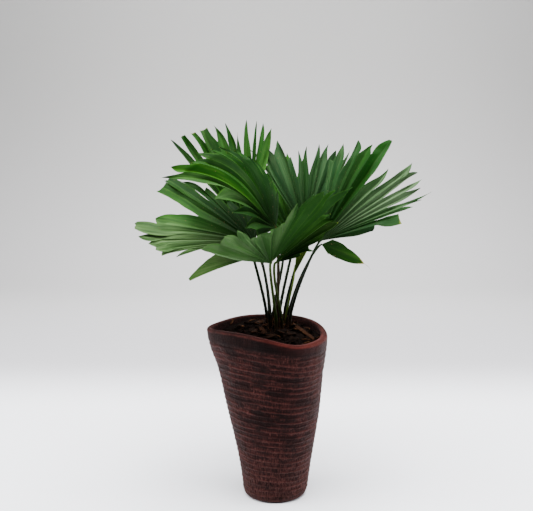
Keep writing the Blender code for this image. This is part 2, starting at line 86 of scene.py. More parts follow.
SHOULDER_DROP = 0.028
SHOULDER_HEIGHT = 0.027
BELLY = 0.0030
BELLY_HEIGHT = 0.53
BELLY_REACH = 0.22
BAND_DARK = 0.80
RIM_RED_TURN = 312
RIM_RED_REACH = (0.018, 0.078)
RIM_RED_SHARE = (0.06, 0.72)

# Soil and bark
SOIL_TOP = 0.258
CLEARANCE = 0.0003
BED_GAP = 0.0012
BED_SIDES = 96
BED_RINGS = 34
BED_GRAIN = 150
BED_ROUGHNESS = 0.0022
BED_DROP = 0.0016
BED_LOOK = (0.18, 0, 0)
BARK_LEVEL = 0.2815
BARK_SLOPE = Vector((-0.03, 0.07))
CROWN = Vector((0.006, 0.040))
HEAP_HEIGHT = 0.013
HEAP_WIDTH = 0.036
BANK_HEIGHT = 0.008
BANK_REACH = 0.090
BANK_SIDE = Vector((-0.500, 0.866))
CHIP_SEED = 11
CHIP_COUNT = 27
CHIP_SPREAD = 0.095
CHIP_LENGTH = (0.014, 0.032)
CHIP_WIDTH = (0.007, 0.012)
CHIP_THICKNESS = (0.003, 0.005)
CHIP_TIP = (-16, 16)
CHIP_ROLL = (-20, 20)
CHIP_TONE = (0.20, 0.54)
CHIP_LIFT = 0.45
CHIP_FINE = (12, 5)
CHIP_ROOM = 0.003
LONG_CHIP = dict(
    centre=(0.049, 0.024), length=0.066, width=0.0075, thickness=0.0036, turn=-52, tip=15, roll=6,
    tone=0.60, lift=1.2, fine=CHIP_FINE,
)
PALE_CHIP = dict(width=0.005, thickness=0.0024, roll=-12, tone=0.66, lift=1.4, fine=(10, 4))
PALE_CHIPS = (
    # x, y, length, turn, tip
    (0.0535, -0.0070, 0.016, 20, 8),
    (-0.0780, 0.0660, 0.013, 60, -38),
    (-0.0420, 0.0740, 0.014, 25, -14),
)
CRUMB_COUNT = 420
CRUMB_SPREAD = 0.098
CRUMB_LENGTH = (0.005, 0.014)
CRUMB_SHAPE = (0.35, 0.7)
CRUMB_THICKNESS = (0.0012, 0.0030)
CRUMB_TIP = (-28, 28)
CRUMB_ROLL = (-32, 32)
CRUMB_TONE = (0.16, 0.36)
CRUMB_LIFT = (0.1, 0.7)
CRUMB_FINE = (5, 3)
BRIGHT_SHARE = 0.10
BRIGHT_TONE = (0.25, 0.45)
SPLINTER_SHARE = 0.18
SPLINTER_LENGTH = (0.010, 0.022)
SPLINTER_WIDTH = (0.0014, 0.0024)

# Fibres at the stems' feet
FIBRE_SEED = 77
FIBRE_COUNT = 46
FIBRE_MIDDLE = (0.006, 0.034)
FIBRE_REACH = (0.006, 0.024)
FIBRE_SINK = 0.002
FIBRE_LENGTH = (0.010, 0.034)
FIBRE_RADIUS = 0.00048
FIBRE_STEPS = 8
FIBRE_LOOK = (0.5, 0.6, 0.5)

# Stems
STEM_RINGS = 40
STEM_SIDES = 12
STEM_DEPTH = 0.045
STEM_START = 0.006
STEM_PULL = 0.22
COARSE_RINGS = 7
RIB_LENGTH = 0.016
RIB_RADIUS = 0.0006
RIB_STEPS = 5
RIB_SINK = 0.35
SPINE_LENGTH = 0.0032
SPINE_RADIUS = 0.00085
SPINE_ROOT = 0.0008
SPINE_START = 0.022
SPINE_STEP = 0.017
SPINE_STEPS = 4
SPINE_SHARE = (0.45, 0.70)
SPINE_END = 0.93
THREAD_RADIUS = 0.0004
THREAD_STEPS = 12
SLIVER_SIDES = 5

# Blades
BLADE_THICKNESS = 0.0005
BLADE_START = 0.003
FREE_STATIONS = (0.55, 1.0)
WHOLE_STATIONS = (0.0, 0.3, 0.6, 0.85, 1.0)
CURL_START = 0.045
CURL_END = 0.20
ACROSS = (0.0, 0.07, 0.25, 0.50, 0.75, 0.93, 1.0)
FOLD_ROUNDING = 0.05
# How far the painted shade that darkens each fan towards its heart reaches.
HUB_SHADE_REACH = 0.11
NORMAL_START = 0.004
NORMAL_STEP = 0.0005
WAVE_HEIGHT = 0.0011
WAVE_RATE = 130
TONE_SWING = 0.14
# How far the share of painted sheen swings from segment to segment.
SHEEN_SWING = 0.10
DRY_SWING = (0.3, 2.2)
JAGS = (-0.018, 0.004)
WIDEST = 0.55
LOOK_SEED = 500
LOOSE_SEED = 700
LOOSE_TURN = 1.3
STEM_SEED = 900
SPLIT_STEPS = (8, 10, 16, 20)
WHOLE_STEPS = (14, 14, 12, 12)


@dataclass
class Frond:
    """One frond: the numbers of its solid, then those of its looks and of its looser form.

    A value over the fan is one number, or (turn, value) pairs with even runs between them.
    """

    name: str
    root: tuple  # where the stem leaves the bark
    heart: tuple  # where the blade sits on the stem
    heading: float  # of the blade's middle line, from +X
    rise: float  # of that line, over level
    roll: float  # of the blade, round that line
    tips: tuple  # (turn, length) of each segment
    curl: tuple = (15, 15)  # how far the first and the last segment bend down
    split: float = 0.58  # where the segments part, as a share of their length
    joined: bool = False  # more segments part late
    whole: bool = False  # one undivided leaf
    pleat: float = 0.40  # height of a fold, as a share of its width
    taper: float = 1.8  # the higher, the later a segment narrows
    stem: float = 0.0028  # radius of the stem
    spines: int = 6  # long ones, with as many short ones above
    cut: dict = field(default_factory=dict)  # how wide a blunt tip is, by segment
    seed: int = 1

    tone: object = 0.45  # 0 is blue-green, 1 is bright yellow-green
    painted_sheen: object = 0.0  # share of the painted pale sheen
    dry: object = 0.012  # share of a segment that has dried from its tip
    hub_shade: object = 0.11  # how far the painted shade at the fan's heart reaches
    broad: object = 0.0  # how much wider a segment's free part is
    flat: object = 0.0  # how far its fold opens there
    bow: object = 0.0  # degrees that it swings sideways at its middle
    twist: float = 22.0  # most degrees that a free part turns
    threads: dict = field(default_factory=dict)  # length of a tip's dry thread, by segment
    leaf: str = "leaf_green"
    stalk: str = "stalk_dark"


FRONDS = (
    Frond(
        "frond_upper_left", (-0.014, 0.045), (-0.052, 0.085, 0.465), 112, 72, 0,
        ((-23, 0.204), (-18, 0.209), (-14, 0.207), (-9, 0.209), (-3, 0.176), (3, 0.200),
         (9, 0.202), (16, 0.198), (22, 0.199), (28, 0.203), (33, 0.212)),
        curl=(10, 15), cut={7: 0.7, 8: 0.5, 9: 0.5}, split=0.60, seed=11,
        tone=((-23, 0.75), (-14, 0.45), (9, 0.30)), flat=0.3, threads={4: 0.012},
        painted_sheen=((9, 0.0), (16, 0.15), (22, 0.05), (33, 0.0)),
        broad=((-23, 0.45), (-18, 0.0), (-3, 0.0), (3, 0.9), (9, 0.2), (28, 0.0), (33, 0.45)),
    ),
    Frond(
        "frond_back_right", (0.016, 0.058), (0.055, 0.100, 0.460), 80, 72, 5,
        ((-26, 0.171), (-18, 0.159), (-12, 0.166), (-6, 0.165), (2, 0.160), (8, 0.150),
         (14, 0.140), (20, 0.177), (30, 0.186), (37, 0.187)),
        curl=(12, 12), split=0.62, seed=12, tone=((-26, 0.15), (37, 0.30)),
        painted_sheen=((-26, 0.30), (8, 0.20), (37, 0.45)), hub_shade=0.13, leaf="leaf_blue",
    ),
    Frond(
        "frond_right", (0.026, 0.042), (0.078, 0.040, 0.450), 0, 35, 60,
        ((-24, 0.096), (-17.2, 0.146), (-14.2, 0.174), (-12, 0.191), (-9, 0.214), (-5, 0.200),
         (-1, 0.211), (3, 0.212), (8, 0.214), (15, 0.179), (24, 0.227), (31, 0.205),
         (39, 0.205), (46, 0.191), (52, 0.153)),
        curl=(10, 15), cut={1: 1.0, 10: 0.15}, split=0.62, seed=13,
        tone=((-19, 0.35), (-12, 0.50), (15, 0.42), (22, 0.30), (35, 0.30), (52, 0.22)),
        painted_sheen=((-26, 0), (-15, 0.1), (-5, 1.15), (8, 1.0), (15, 0.5), (20, 0), (31, 0), (52, 0.3)),
        hub_shade=((-26, 0.19), (-15, 0.17), (-5, 0.14), (15, 0.17), (24, 0.26), (33, 0.24), (40, 0.15),
             (52, 0.13)),
        broad=((-26, 0.5), (-17.2, 1.25), (-14.2, 0.1), (15, 0), (24, 0.7), (31, -0.3), (39, 0),
               (46, 0.3)),
        flat=((-26, 0.7), (-19, 0.95), (-15, 0.3), (15, 0.2), (24, 0.8), (31, 0.3)),
        leaf="leaf_blue",
    ),
    Frond(
        "frond_centre_left", (0.004, 0.032), (0.001, 0.005, 0.480), 195, 58, -45,
        ((-59, 0.084), (-44, 0.104), (-34, 0.131), (-28, 0.137), (-22, 0.158), (-14, 0.175),
         (-5, 0.177), (3, 0.191), (11, 0.191), (18, 0.219), (24, 0.230), (34, 0.135),
         (41.5, 0.101), (58, 0.079), (76, 0.062)),
        curl=(35, 55), split=0.66, pleat=0.36, stem=0.0030, seed=14,
        tone=((-59, 0.30), (-22, 0.28), (-5, 0.30), (3, 0.32), (11, 0.38), (24, 0.66), (34, 0.55),
              (76, 0.40)),
        painted_sheen=((-14, 0), (3, 0.04), (11, 0), (18, 0.10), (28, 0.05), (34, 0.55), (43, 0.1)),
        hub_shade=((-59, 0.14), (-14, 0.12), (24, 0.10), (34, 0.13)),
        broad=((18, 0.0), (24, 0.1), (34, -0.8), (43, -0.3), (76, 0.0)),
        bow=((-59, 0), (-22, -5), (-5, -8), (3, -9), (11, -8), (24, -6), (34, -13), (43, -11),
             (76, -4)),
        flat=((-59, 0.3), (3, 0.5), (24, 0.6), (34, -0.5)), leaf="leaf_bright", stalk="stalk_red",
    ),
    Frond(
        "frond_left", (-0.008, 0.036), (-0.037, 0.024, 0.452), 185, 10, -45,
        ((-105, 0.050), (-85, 0.065), (-70, 0.080), (-57, 0.098), (-48, 0.140), (-42, 0.188),
         (-36, 0.205), (-31, 0.202), (-8, 0.177), (-2, 0.210), (3, 0.202), (8, 0.184),
         (13, 0.172), (17, 0.164), (21, 0.140)),
        cut={6: 0.6, 7: 0.8, 9: 0.4, 12: 0.4, 13: 0.5}, split=0.56, joined=True, taper=3.2,
        pleat=0.26, seed=15, tone=((-42, 0.28), (-31, 0.30), (-8, 0.42), (21, 0.62)),
        painted_sheen=((-38, 0.0), (-36, 0.10), (-34, 0.0), (-20, 0.0), (-8, 0.28), (3, 0.80), (21, 0.65)),
        hub_shade=((-105, 0.24), (-48, 0.25), (-31, 0.21), (-20, 0.17), (21, 0.14)),
        broad=((-48, 0), (-42, 0.2), (-36, 0.3), (-31, 0.5), (-8, 0.8), (21, 0.9)),
        flat=((-42, 0.3), (-8, 0.85)), dry=0.004, twist=8.0,
    ),
    Frond(
        "frond_front", (0.002, 0.021), (-0.009, -0.030, 0.424), -60, 52, 10,
        ((-61, 0.205), (-51, 0.176), (-44, 0.160), (-37, 0.110), (-22, 0.097), (-9, 0.100),
         (0, 0.142), (6, 0.170), (15, 0.169), (24, 0.173), (34, 0.191)),
        curl=(3, 3), split=0.80, pleat=0.42, seed=33,
        tone=((-61, 1.0), (-44, 0.65), (-9, 0.70), (-1, 1.0), (0.5, 0.28), (6, 0.42)),
        painted_sheen=((-61, 0.90), (-44, 0.80), (-9, 0.60), (-1, 0.90), (0.5, 0.0)), dry=0.0,
        leaf="leaf_bright", stalk="stalk_olive",
    ),
    Frond(
        "frond_front_right", (0.012, 0.028), (-0.001, -0.024, 0.424), -15, 35, 40,
        ((-22, 0.052), (-16, 0.069), (-6, 0.096), (2, 0.130), (9, 0.125), (17, 0.126),
         (30, 0.117)),
        split=0.85, seed=31, tone=((-22, 0.25), (2, 0.6), (30, 0.4)),
        painted_sheen=((-22, 0), (2, 0.3), (30, 0.1)), leaf="leaf_dark", stalk="stalk_olive",
    ),
    Frond(
        "frond_low_left", (-0.010, 0.024), (-0.030, 0.004, 0.430), 200, -6, -35,
        ((-49, 0.026), (-37, 0.047), (-22, 0.066), (-13, 0.081), (-5, 0.097), (1, 0.113),
         (6, 0.130)),
        curl=(25, 25), whole=True, pleat=0.02, stem=0.0022, seed=18,
        tone=((-49, 1.0), (-13, 0.7), (6, 0.6)), painted_sheen=((-49, 1.0), (6, 0.75)), dry=0.004,
        leaf="leaf_dark",
    ),
    Frond(
        "frond_low_right", (0.021, 0.033), (0.080, 0.020, 0.448), -10, -18, 55,
        ((-34, 0.022), (-21, 0.042), (-13, 0.064), (-5, 0.082), (3, 0.064), (12, 0.046),
         (28, 0.032), (40, 0.023)),
        curl=(20, 20), whole=True, pleat=0.02, stem=0.0022, seed=19,
        tone=((-34, 0.9), (-5, 0.55), (40, 0.3)), painted_sheen=((-34, 0.10), (40, 0)),
        dry=((-13, 0.004), (-5, 0.035), (3, 0.004)), threads={3: 0.012}, leaf="leaf_dark",
    ),
    Frond(
        "frond_back", (0.007, 0.053), (0.036, 0.115, 0.442), 88, 58, 0,
        ((-62, 0.130), (-50, 0.150), (-39, 0.165), (-28, 0.180), (-17, 0.188), (-6, 0.190),
         (5, 0.190), (16, 0.188), (27, 0.180), (38, 0.165), (49, 0.150), (60, 0.135)),
        curl=(25, 25), seed=20, tone=((-62, 0.35), (60, 0.55)),
    ),
    Frond(
        "frond_back_low", (-0.004, 0.056), (0.016, 0.100, 0.417), 110, -8, 0,
        ((-46, 0.140), (-35, 0.160), (-24, 0.172), (-13, 0.180), (-2, 0.182), (9, 0.180),
         (20, 0.175), (31, 0.165), (42, 0.150)),
        curl=(6, 6), seed=21, tone=((-46, 0.45), (42, 0.30)),
    ),
    Frond(
        "spear_leaf", (0.019, 0.047), (0.034, 0.045, 0.388), -90, 78, 0,
        ((6, 0.050), (11, 0.066), (15, 0.078), (19, 0.072), (24, 0.055)),
        curl=(6, 6), whole=True, pleat=0.9, stem=0.0018, spines=0, seed=22, tone=0.5,
        dry=0.03, leaf="leaf_spear", stalk="stalk_yellow",
    ),
)


class Body:
    """Points and faces of one mesh, with three vectors a point that its material reads."""

    def __init__(self):
        self.points = []
        self.faces = []
        self.rows = []

    def point(self, place, form, look, edge=(0, 0, 0)):
        self.points.append(tuple(place))
        self.rows.append((form, look, edge))
        return len(self.points) - 1

    def face(self, corners):
        self.faces.append(tuple(corners))

    def skin(self, rings):
        """Faces from each ring of points to the next, and over the first and the last."""
        for low, high in zip(rings, rings[1:]):
            for i in range(len(low)):
                j = (i + 1) % len(low)
                self.face((low[i], low[j], high[j], high[i]))
        self.face(reversed(rings[0]))
        self.face(rings[-1])

    def build(self, name, material, sharp=50):
        mesh = bpy.data.meshes.new(name)
        mesh.from_pydata(self.points, [], self.faces)
        mesh.materials.append(material)
        for n, kind in enumerate(("form", "look", "edge")):
            layer = mesh.attributes.new(kind, "FLOAT_VECTOR", "POINT")
            layer.data.foreach_set("vector", [v for row in self.rows for v in row[n]])
        mesh.shade_smooth()
        mesh.set_sharp_from_angle(angle=math.radians(sharp))
        mesh.update()
        obj = bpy.data.objects.new(name, mesh)
        bpy.context.scene.collection.objects.link(obj)
        return obj


def smooth_step(low, high, value):
    t = min(max((value - low) / (high - low), 0.0), 1.0)
    return t * t * (3 - 2 * t)


def add_tube(body, path, radii, sides, row):
    """A closed round tube along a path. row(n, turn) gives the vectors of a point of ring n."""
    rings = []
    side = Vector((0, 1, 0))
    for n, centre in enumerate(path):
        ahead = path[min(n + 1, len(path) - 1)] - path[max(n - 1, 0)]
        ahead.normalize()
        if abs(side.dot(ahead)) > 0.95:
            side = Vector((1, 0, 0))
        side = (side - ahead * side.dot(ahead)).normalized()
        other = ahead.cross(side)
        ring = []
        for i in range(sides):
            turn = 2 * math.pi * i / sides
            offset = (side * math.cos(turn) + other * math.sin(turn)) * radii[n]
            ring.append(body.point(centre + offset, *row(n, i / sides)))
        rings.append(ring)
    body.skin(rings)


def add_sliver(body, path, radius, taper, *row):
    """A thin tube that loses a share of its radius up to its tip. row holds its vectors."""
    radii = [radius * (1 - taper * n / (len(path) - 1)) for n in range(len(path))]
    add_tube(body, path, radii, SLIVER_SIDES, lambda n, turn: row)


# Materials


class Paint:
    """A Principled material and short ways to add the nodes that feed it."""

    def __init__(self, name):
        self.made = bpy.data.materials.new(name)
        self.made.use_nodes = True
        self.tree = self.made.node_tree
        self.shader = self.tree.nodes["Principled BSDF"]

    def feed(self, socket, value):
        if isinstance(value, bpy.types.NodeSocket):
            self.tree.links.new(value, socket)
        elif isinstance(value, tuple) and len(value) == 3 and socket.type == "RGBA":
            socket.default_value = (*value, 1.0)
        else:
            socket.default_value = value

    def node(self, kind, *values, **settings):
        """A node with its settings, and with values or sockets fed to its first inputs."""
        made = self.tree.nodes.new(kind)
        for key, value in settings.items():
            setattr(made, key, value)
        for socket, value in zip(made.inputs, values):
            self.feed(socket, value)
        return made

    def set(self, **values):
        for key, value in values.items():
            self.feed(self.shader.inputs[key.replace("_", " ")], value)

    def coords(self):
        return self.node("ShaderNodeTexCoord").outputs["Object"]

    def vector(self, name):
        """One of the vectors that Body keeps for each point."""
        return self.node("ShaderNodeAttribute", attribute_name=name).outputs["Vector"]

    def parts(self, vector):
        return self.node("ShaderNodeSeparateXYZ", vector).outputs

    def noise(self, coords, scale, detail=4.0, rough=0.55, bend=0.0):
        """Clouds from 0 to 1. scale is one number, or one for each axis."""
        if isinstance(scale, tuple):
            stretch = self.node("ShaderNodeVectorMath", coords, scale, operation="MULTIPLY")
            coords, scale = stretch.outputs[0], 1.0
        made = self.node("ShaderNodeTexNoise", coords)
        for key, value in (
            ("Scale", scale), ("Detail", detail), ("Roughness", rough), ("Distortion", bend)
        ):
            self.feed(made.inputs[key], value)
        return made.outputs[0]

    def math(self, operation, *values, clamp=False):
        return self.node("ShaderNodeMath", *values, operation=operation, use_clamp=clamp).outputs[0]

    def times(self, a, b):
        return self.math("MULTIPLY", a, b)

    def vary(self, value, *patterns):
        """A value raised and lowered by (pattern, amount) pairs, each pattern about 0.5."""
        for pattern, amount in patterns:
            value = self.math("ADD", value, self.times(self.math("SUBTRACT", pattern, 0.5), amount))
        return value

    def spread(self, value, low, high, to_low=0.0, to_high=1.0):
        """A smooth step of the value from low to high."""
        made = self.node(
            "ShaderNodeMapRange", value, low, high, to_low, to_high, interpolation_type="SMOOTHSTEP"
        )
        return made.outputs[0]

    def mix(self, a, b, share):
        made = self.node("ShaderNodeMix", share, data_type="RGBA")
        colours = [s for s in made.inputs if s.type == "RGBA"]
        self.feed(colours[0], a)
        self.feed(colours[1], b)
        return next(s for s in made.outputs if s.type == "RGBA")

    def ramp(self, value, stops):
        made = self.node("ShaderNodeValToRGB", value)
        row = made.color_ramp.elements
        while len(row) < len(stops):
            row.new(0.5)
        for element, (place, colour) in zip(row, stops):
            element.position = place
            element.color = (*colour, 1.0)
        return made.outputs[0]

    def relief(self, *layers):
        """Bumps on top of each other: the pattern, the height and the strength of each."""
        under = None
        for pattern, height, strength in layers:
            made = self.node("ShaderNodeBump")
            self.feed(made.inputs["Strength"], strength)
            self.feed(made.inputs["Distance"], height)
            self.feed(made.inputs["Height"], pattern)
            if under is not None:
                self.feed(made.inputs["Normal"], under)
            under = made.outputs[0]
        return under


LEAF_RAMP = (
    (0.0, (0.0050, 0.024, 0.0070)), (0.30, (0.0032, 0.023, 0.0018)),
    (0.60, (0.0078, 0.048, 0.0024)), (1.0, (0.027, 0.108, 0.0045)),
)
BLUE_RAMP = (
    (0.0, (0.006, 0.030, 0.0085)), (0.35, (0.0032, 0.028, 0.0022)),
    (0.70, (0.006, 0.050, 0.0014)), (1.0, (0.022, 0.090, 0.0020)),
)
DARK_RAMP = (
    (0.0, (0.0016, 0.011, 0.0012)), (0.50, (0.0028, 0.023, 0.0008)), (1.0, (0.011, 0.056, 0.0014)),
)
SPEAR_RAMP = (
    (0.0, (0.070, 0.130, 0.006)), (0.5, (0.200, 0.290, 0.025)), (1.0, (0.380, 0.450, 0.090)),
)
LEAVES = {
    # colours by tone, pale rib, painted sheen, roughness, specular level
    "leaf_green": (LEAF_RAMP, (0.024, 0.076, 0.004), (0.075, 0.135, 0.048), 0.44, 0.10),
    "leaf_blue": (BLUE_RAMP, (0.026, 0.072, 0.012), (0.050, 0.090, 0.040), 0.42, 0.10),
    "leaf_bright": (LEAF_RAMP, (0.036, 0.110, 0.005), (0.058, 0.100, 0.040), 0.44, 0.10),
    "leaf_dark": (DARK_RAMP, (0.024, 0.064, 0.006), (0.034, 0.062, 0.018), 0.55, 0.05),
    "leaf_spear": (SPEAR_RAMP, (0.420, 0.470, 0.130), (0.220, 0.280, 0.070), 0.42, 0.10),
}
LEAF_IOR = 1.22
VEIN_PITCH = 0.0013
VEIN_GREEN = (0.003, 0.018, 0.003)
# Painted shade: the near black that each fan darkens to at its heart.
HUB_SHADE_GREEN = (0.0010, 0.006, 0.0004)
UNDER_GREEN = (0.012, 0.045, 0.007)
WILTED = (0.130, 0.170, 0.020)
SCORCH = (0.110, 0.065, 0.035)
STRAW = (0.220, 0.160, 0.075)
STALKS = {
    # shaded end, lit end, streaks
    "stalk_dark": ((0.0012, 0.0025, 0.0008), (0.003, 0.012, 0.0015), (0.008, 0.012, 0.002)),
    "stalk_olive": ((0.007, 0.012, 0.0015), (0.020, 0.045, 0.003), (0.030, 0.040, 0.006)),
    "stalk_red": ((0.008, 0.0035, 0.0015), (0.018, 0.020, 0.003), (0.045, 0.012, 0.004)),
    "stalk_yellow": ((0.030, 0.050, 0.004), (0.085, 0.145, 0.012), (0.110, 0.150, 0.025)),
}
STALK_SHADE = (0.002, 0.003, 0.001)
STALK_FOOT = (0.012, 0.006, 0.003)
SPINE_BROWN = (0.060, 0.022, 0.008)
CLAY_RAMP = (
    (0.0, (0.0014, 0.0008, 0.0007)), (0.35, (0.0050, 0.0020, 0.0017)),
    (0.65, (0.0210, 0.0064, 0.0054)), (1.0, (0.0820, 0.0290, 0.0250)),
)
CLAY_CREST = (0.072, 0.0195, 0.0165)
CLAY_BLOT = (0.0022, 0.0012, 0.0011)
CLAY_RIM_RED = (0.080, 0.0120, 0.0090)
CLAY_FOOT_PALE = (0.070, 0.028, 0.024)
CLAY_SHADE = (0.0012, 0.0008, 0.0007)
CLAY_SHEEN = (1.0, 0.62, 0.60, 1.0)
FOOT_PALE_HEIGHT = 0.14
BARK_RAMP = (
    (0.0, (0.0007, 0.0004, 0.0003)), (0.35, (0.0042, 0.0018, 0.0010)),
    (0.65, (0.024, 0.0092, 0.0042)), (1.0, (0.150, 0.068, 0.030)),
)
SOIL_RAMP = (
    (0.30, (0.0007, 0.0005, 0.0004)), (0.60, (0.004, 0.002, 0.0013)), (0.80, (0.018, 0.009, 0.004)),
)


def leaf_material(name, ramp, pale, painted_sheen, gloss, shine):
    """Ribbed leaf: fine veins, paler ribs, drying margins and tips, and a matt under side, with a
    painted pale sheen and painted shade at the fan's heart.
    """
    paint = Paint(name)
    form = paint.vector("form")
    across, along, _ = paint.parts(form)
    tone, dry, sheen_share = paint.parts(paint.vector("look"))
    side, free, under = paint.parts(paint.vector("edge"))
    clouds = paint.noise(form, (70.0, 22.0, 7.3), detail=5.0)
    streaks = paint.noise(form, (900.0, 26.0, 7.3), detail=3.0)
    folds = paint.noise(form, (220.0, 14.0, 7.3), detail=3.0)
    specks = paint.noise(paint.coords(), 420.0, detail=2.0)
    veins = paint.math("SINE", paint.times(across, 2 * math.pi / VEIN_PITCH))
    colour = paint.ramp(paint.vary(tone, (clouds, 0.36), (streaks, 0.30), (folds, 1.00)), ramp)
    colour = paint.mix(colour, VEIN_GREEN, paint.spread(veins, -1.0, 1.0, 0.0, 0.22))
    colour = paint.mix(colour, pale, paint.spread(side, 0.02, 0.12, 0.40, 0.0))
    # Painted sheen: a pale colour mixed in along streaks and folds, and as a haze over the clouds.
    sheen_share = paint.times(sheen_share, paint.spread(streaks, 0.28, 0.72, 0.70, 1.25))
    sheen_share = paint.times(sheen_share, paint.spread(folds, 0.32, 0.68, 0.35, 1.35))
    sheen_haze = paint.spread(clouds, 0.45, 0.75, 0.0, 0.09)
    colour = paint.mix(colour, painted_sheen, paint.math("ADD", sheen_share, sheen_haze, clamp=True))
    # Painted shade: the colour darkens towards the fan's heart, where the pleats crowd.
    colour = paint.mix(HUB_SHADE_GREEN, colour, paint.spread(along, 0.010, HUB_SHADE_REACH, 0.15, 1.0))
    margin = paint.times(paint.spread(side, 0.84, 1.0), paint.spread(free, 0.02, 0.30))
    colour = paint.mix(colour, pale, paint.times(margin, 0.40))
    colour = paint.mix(colour, SCORCH, paint.spread(specks, 0.68, 0.76, 0.0, 0.65))
    wilt = paint.vary(dry, (streaks, 0.5))
    colour = paint.mix(colour, WILTED, paint.spread(wilt, 0.10, 0.45))
    colour = paint.mix(colour, SCORCH, paint.spread(wilt, 0.40, 0.62))
    colour = paint.mix(colour, STRAW, paint.spread(wilt, 0.60, 0.80))
    colour = paint.mix(colour, paint.mix(colour, UNDER_GREEN, 0.40), under)
    rough = paint.spread(streaks, 0.3, 0.7, gloss, gloss + 0.16)
    rough = paint.math("ADD", rough, paint.times(under, 0.18))
    relief = paint.relief((veins, 0.00005, 0.7), (clouds, 0.0006, 0.25))
    paint.set(Base_Color=colour, Roughness=rough, Normal=relief)
    paint.set(Specular_IOR_Level=shine, IOR=LEAF_IOR)
    return paint.made


def stalk_material(name, shaded, lit, streak):
    """Stem: long fine streaks, greener towards the blade, with a brown foot and spines."""
    paint = Paint(name)
    share, foot, spine = paint.parts(paint.vector("look"))
    streaks = paint.noise(paint.vector("form"), (14.0, 30.0, 1.0))
    clouds = paint.noise(paint.coords(), 70.0)
    colour = paint.mix(shaded, lit, paint.times(share, paint.spread(streaks, 0.3, 0.7, 0.5, 1.0)))
    colour = paint.mix(colour, STALK_SHADE, paint.spread(clouds, 0.45, 0.7, 0.0, 0.6))
    colour = paint.mix(colour, streak, paint.spread(streaks, 0.52, 0.72, 0.0, 0.45))
    colour = paint.mix(colour, STALK_FOOT, paint.times(foot, 0.8))
    colour = paint.mix(colour, SPINE_BROWN, spine)
    paint.set(Base_Color=colour, Roughness=paint.spread(clouds, 0.3, 0.7, 0.38, 0.60))
    paint.set(Normal=paint.relief((streaks, 0.0003, 0.5)), Specular_IOR_Level=0.04)
    return paint.made


def clay_material():
    """Rough thrown clay: red crests, dark grooves, comb marks, paler patches near the foot and a red
    band under the rim.
    """
    paint = Paint("clay")
    crest, shade, rim_band = paint.parts(paint.vector("look"))
    coords = paint.coords()
    rings = paint.noise(coords, (22.0, 22.0, 420.0), detail=6.0, rough=0.65)
    combs = paint.noise(coords, (480.0, 480.0, 150.0), rough=0.6, bend=0.4)
    blots = paint.noise(coords, 34.0, detail=6.0, rough=0.62)
    grain = paint.noise(coords, 900.0, detail=5.0, rough=0.7)
    stains = paint.noise(coords, (20.0, 20.0, 62.0), detail=5.0, rough=0.6)
    level = paint.vary(0.5, (rings, 0.80), (combs, 1.50), (blots, 0.80), (grain, 0.40))
    colour = paint.ramp(level, CLAY_RAMP)
    line = paint.times(crest, paint.spread(grain, 0.35, 0.60, 0.08, 0.60))
    # Crest lines of the clay; on the lip the same colour is a painted edge highlight, partly wear.
    colour = paint.mix(colour, CLAY_CREST, line)
    colour = paint.mix(colour, CLAY_BLOT, paint.spread(stains, 0.46, 0.62, 0.0, 0.82))
    colour = paint.mix(colour, CLAY_RIM_RED, paint.times(rim_band, paint.spread(rings, 0.25, 0.60, 0.35, 1.0)))
    # Paler towards the foot, in patches.
    foot_pale = paint.spread(paint.parts(coords)[2], 0.0, FOOT_PALE_HEIGHT, 0.45, 0.0)
    colour = paint.mix(colour, CLAY_FOOT_PALE, paint.times(foot_pale, paint.spread(combs, 0.35, 0.65)))
    colour = paint.mix(colour, CLAY_SHADE, shade)
    rough = paint.spread(blots, 0.3, 0.7, 0.50, 0.78)
    relief = paint.relief((rings, 0.0011, 0.9), (combs, 0.0008, 0.9), (grain, 0.0002, 0.6))
    paint.set(Base_Color=colour, Roughness=rough, Normal=relief, Specular_IOR_Level=0.10, IOR=1.2)
    paint.set(Sheen_Weight=0.085, Sheen_Roughness=0.5, Sheen_Tint=CLAY_SHEEN)
    return paint.made


def bark_material():
    """Bark chips: grained, flaking, from near black to orange brown."""
    paint = Paint("bark")
    tone = paint.parts(paint.vector("look"))[0]
    grain = paint.noise(paint.vector("form"), (60.0, 700.0, 500.0), detail=5.0, rough=0.65)
    clouds = paint.noise(paint.coords(), 160.0, detail=5.0, rough=0.6)
    colour = paint.ramp(paint.vary(tone, (grain, 0.7), (clouds, 0.5)), BARK_RAMP)
    relief = paint.relief((grain, 0.0010, 0.8), (clouds, 0.0012, 0.6))
    paint.set(Base_Color=colour, Roughness=0.88, Normal=relief, Specular_IOR_Level=0.04)
    return paint.made


def soil_material():
    """Damp potting soil: black crumbs with brown grains."""
    paint = Paint("soil")
    crumbs = paint.noise(paint.coords(), 260.0, detail=6.0, rough=0.7)
    colour = paint.ramp(crumbs, SOIL_RAMP)
    paint.set(Base_Color=colour, Roughness=0.95, Normal=paint.relief((crumbs, 0.002, 1.0)))
    return paint.made


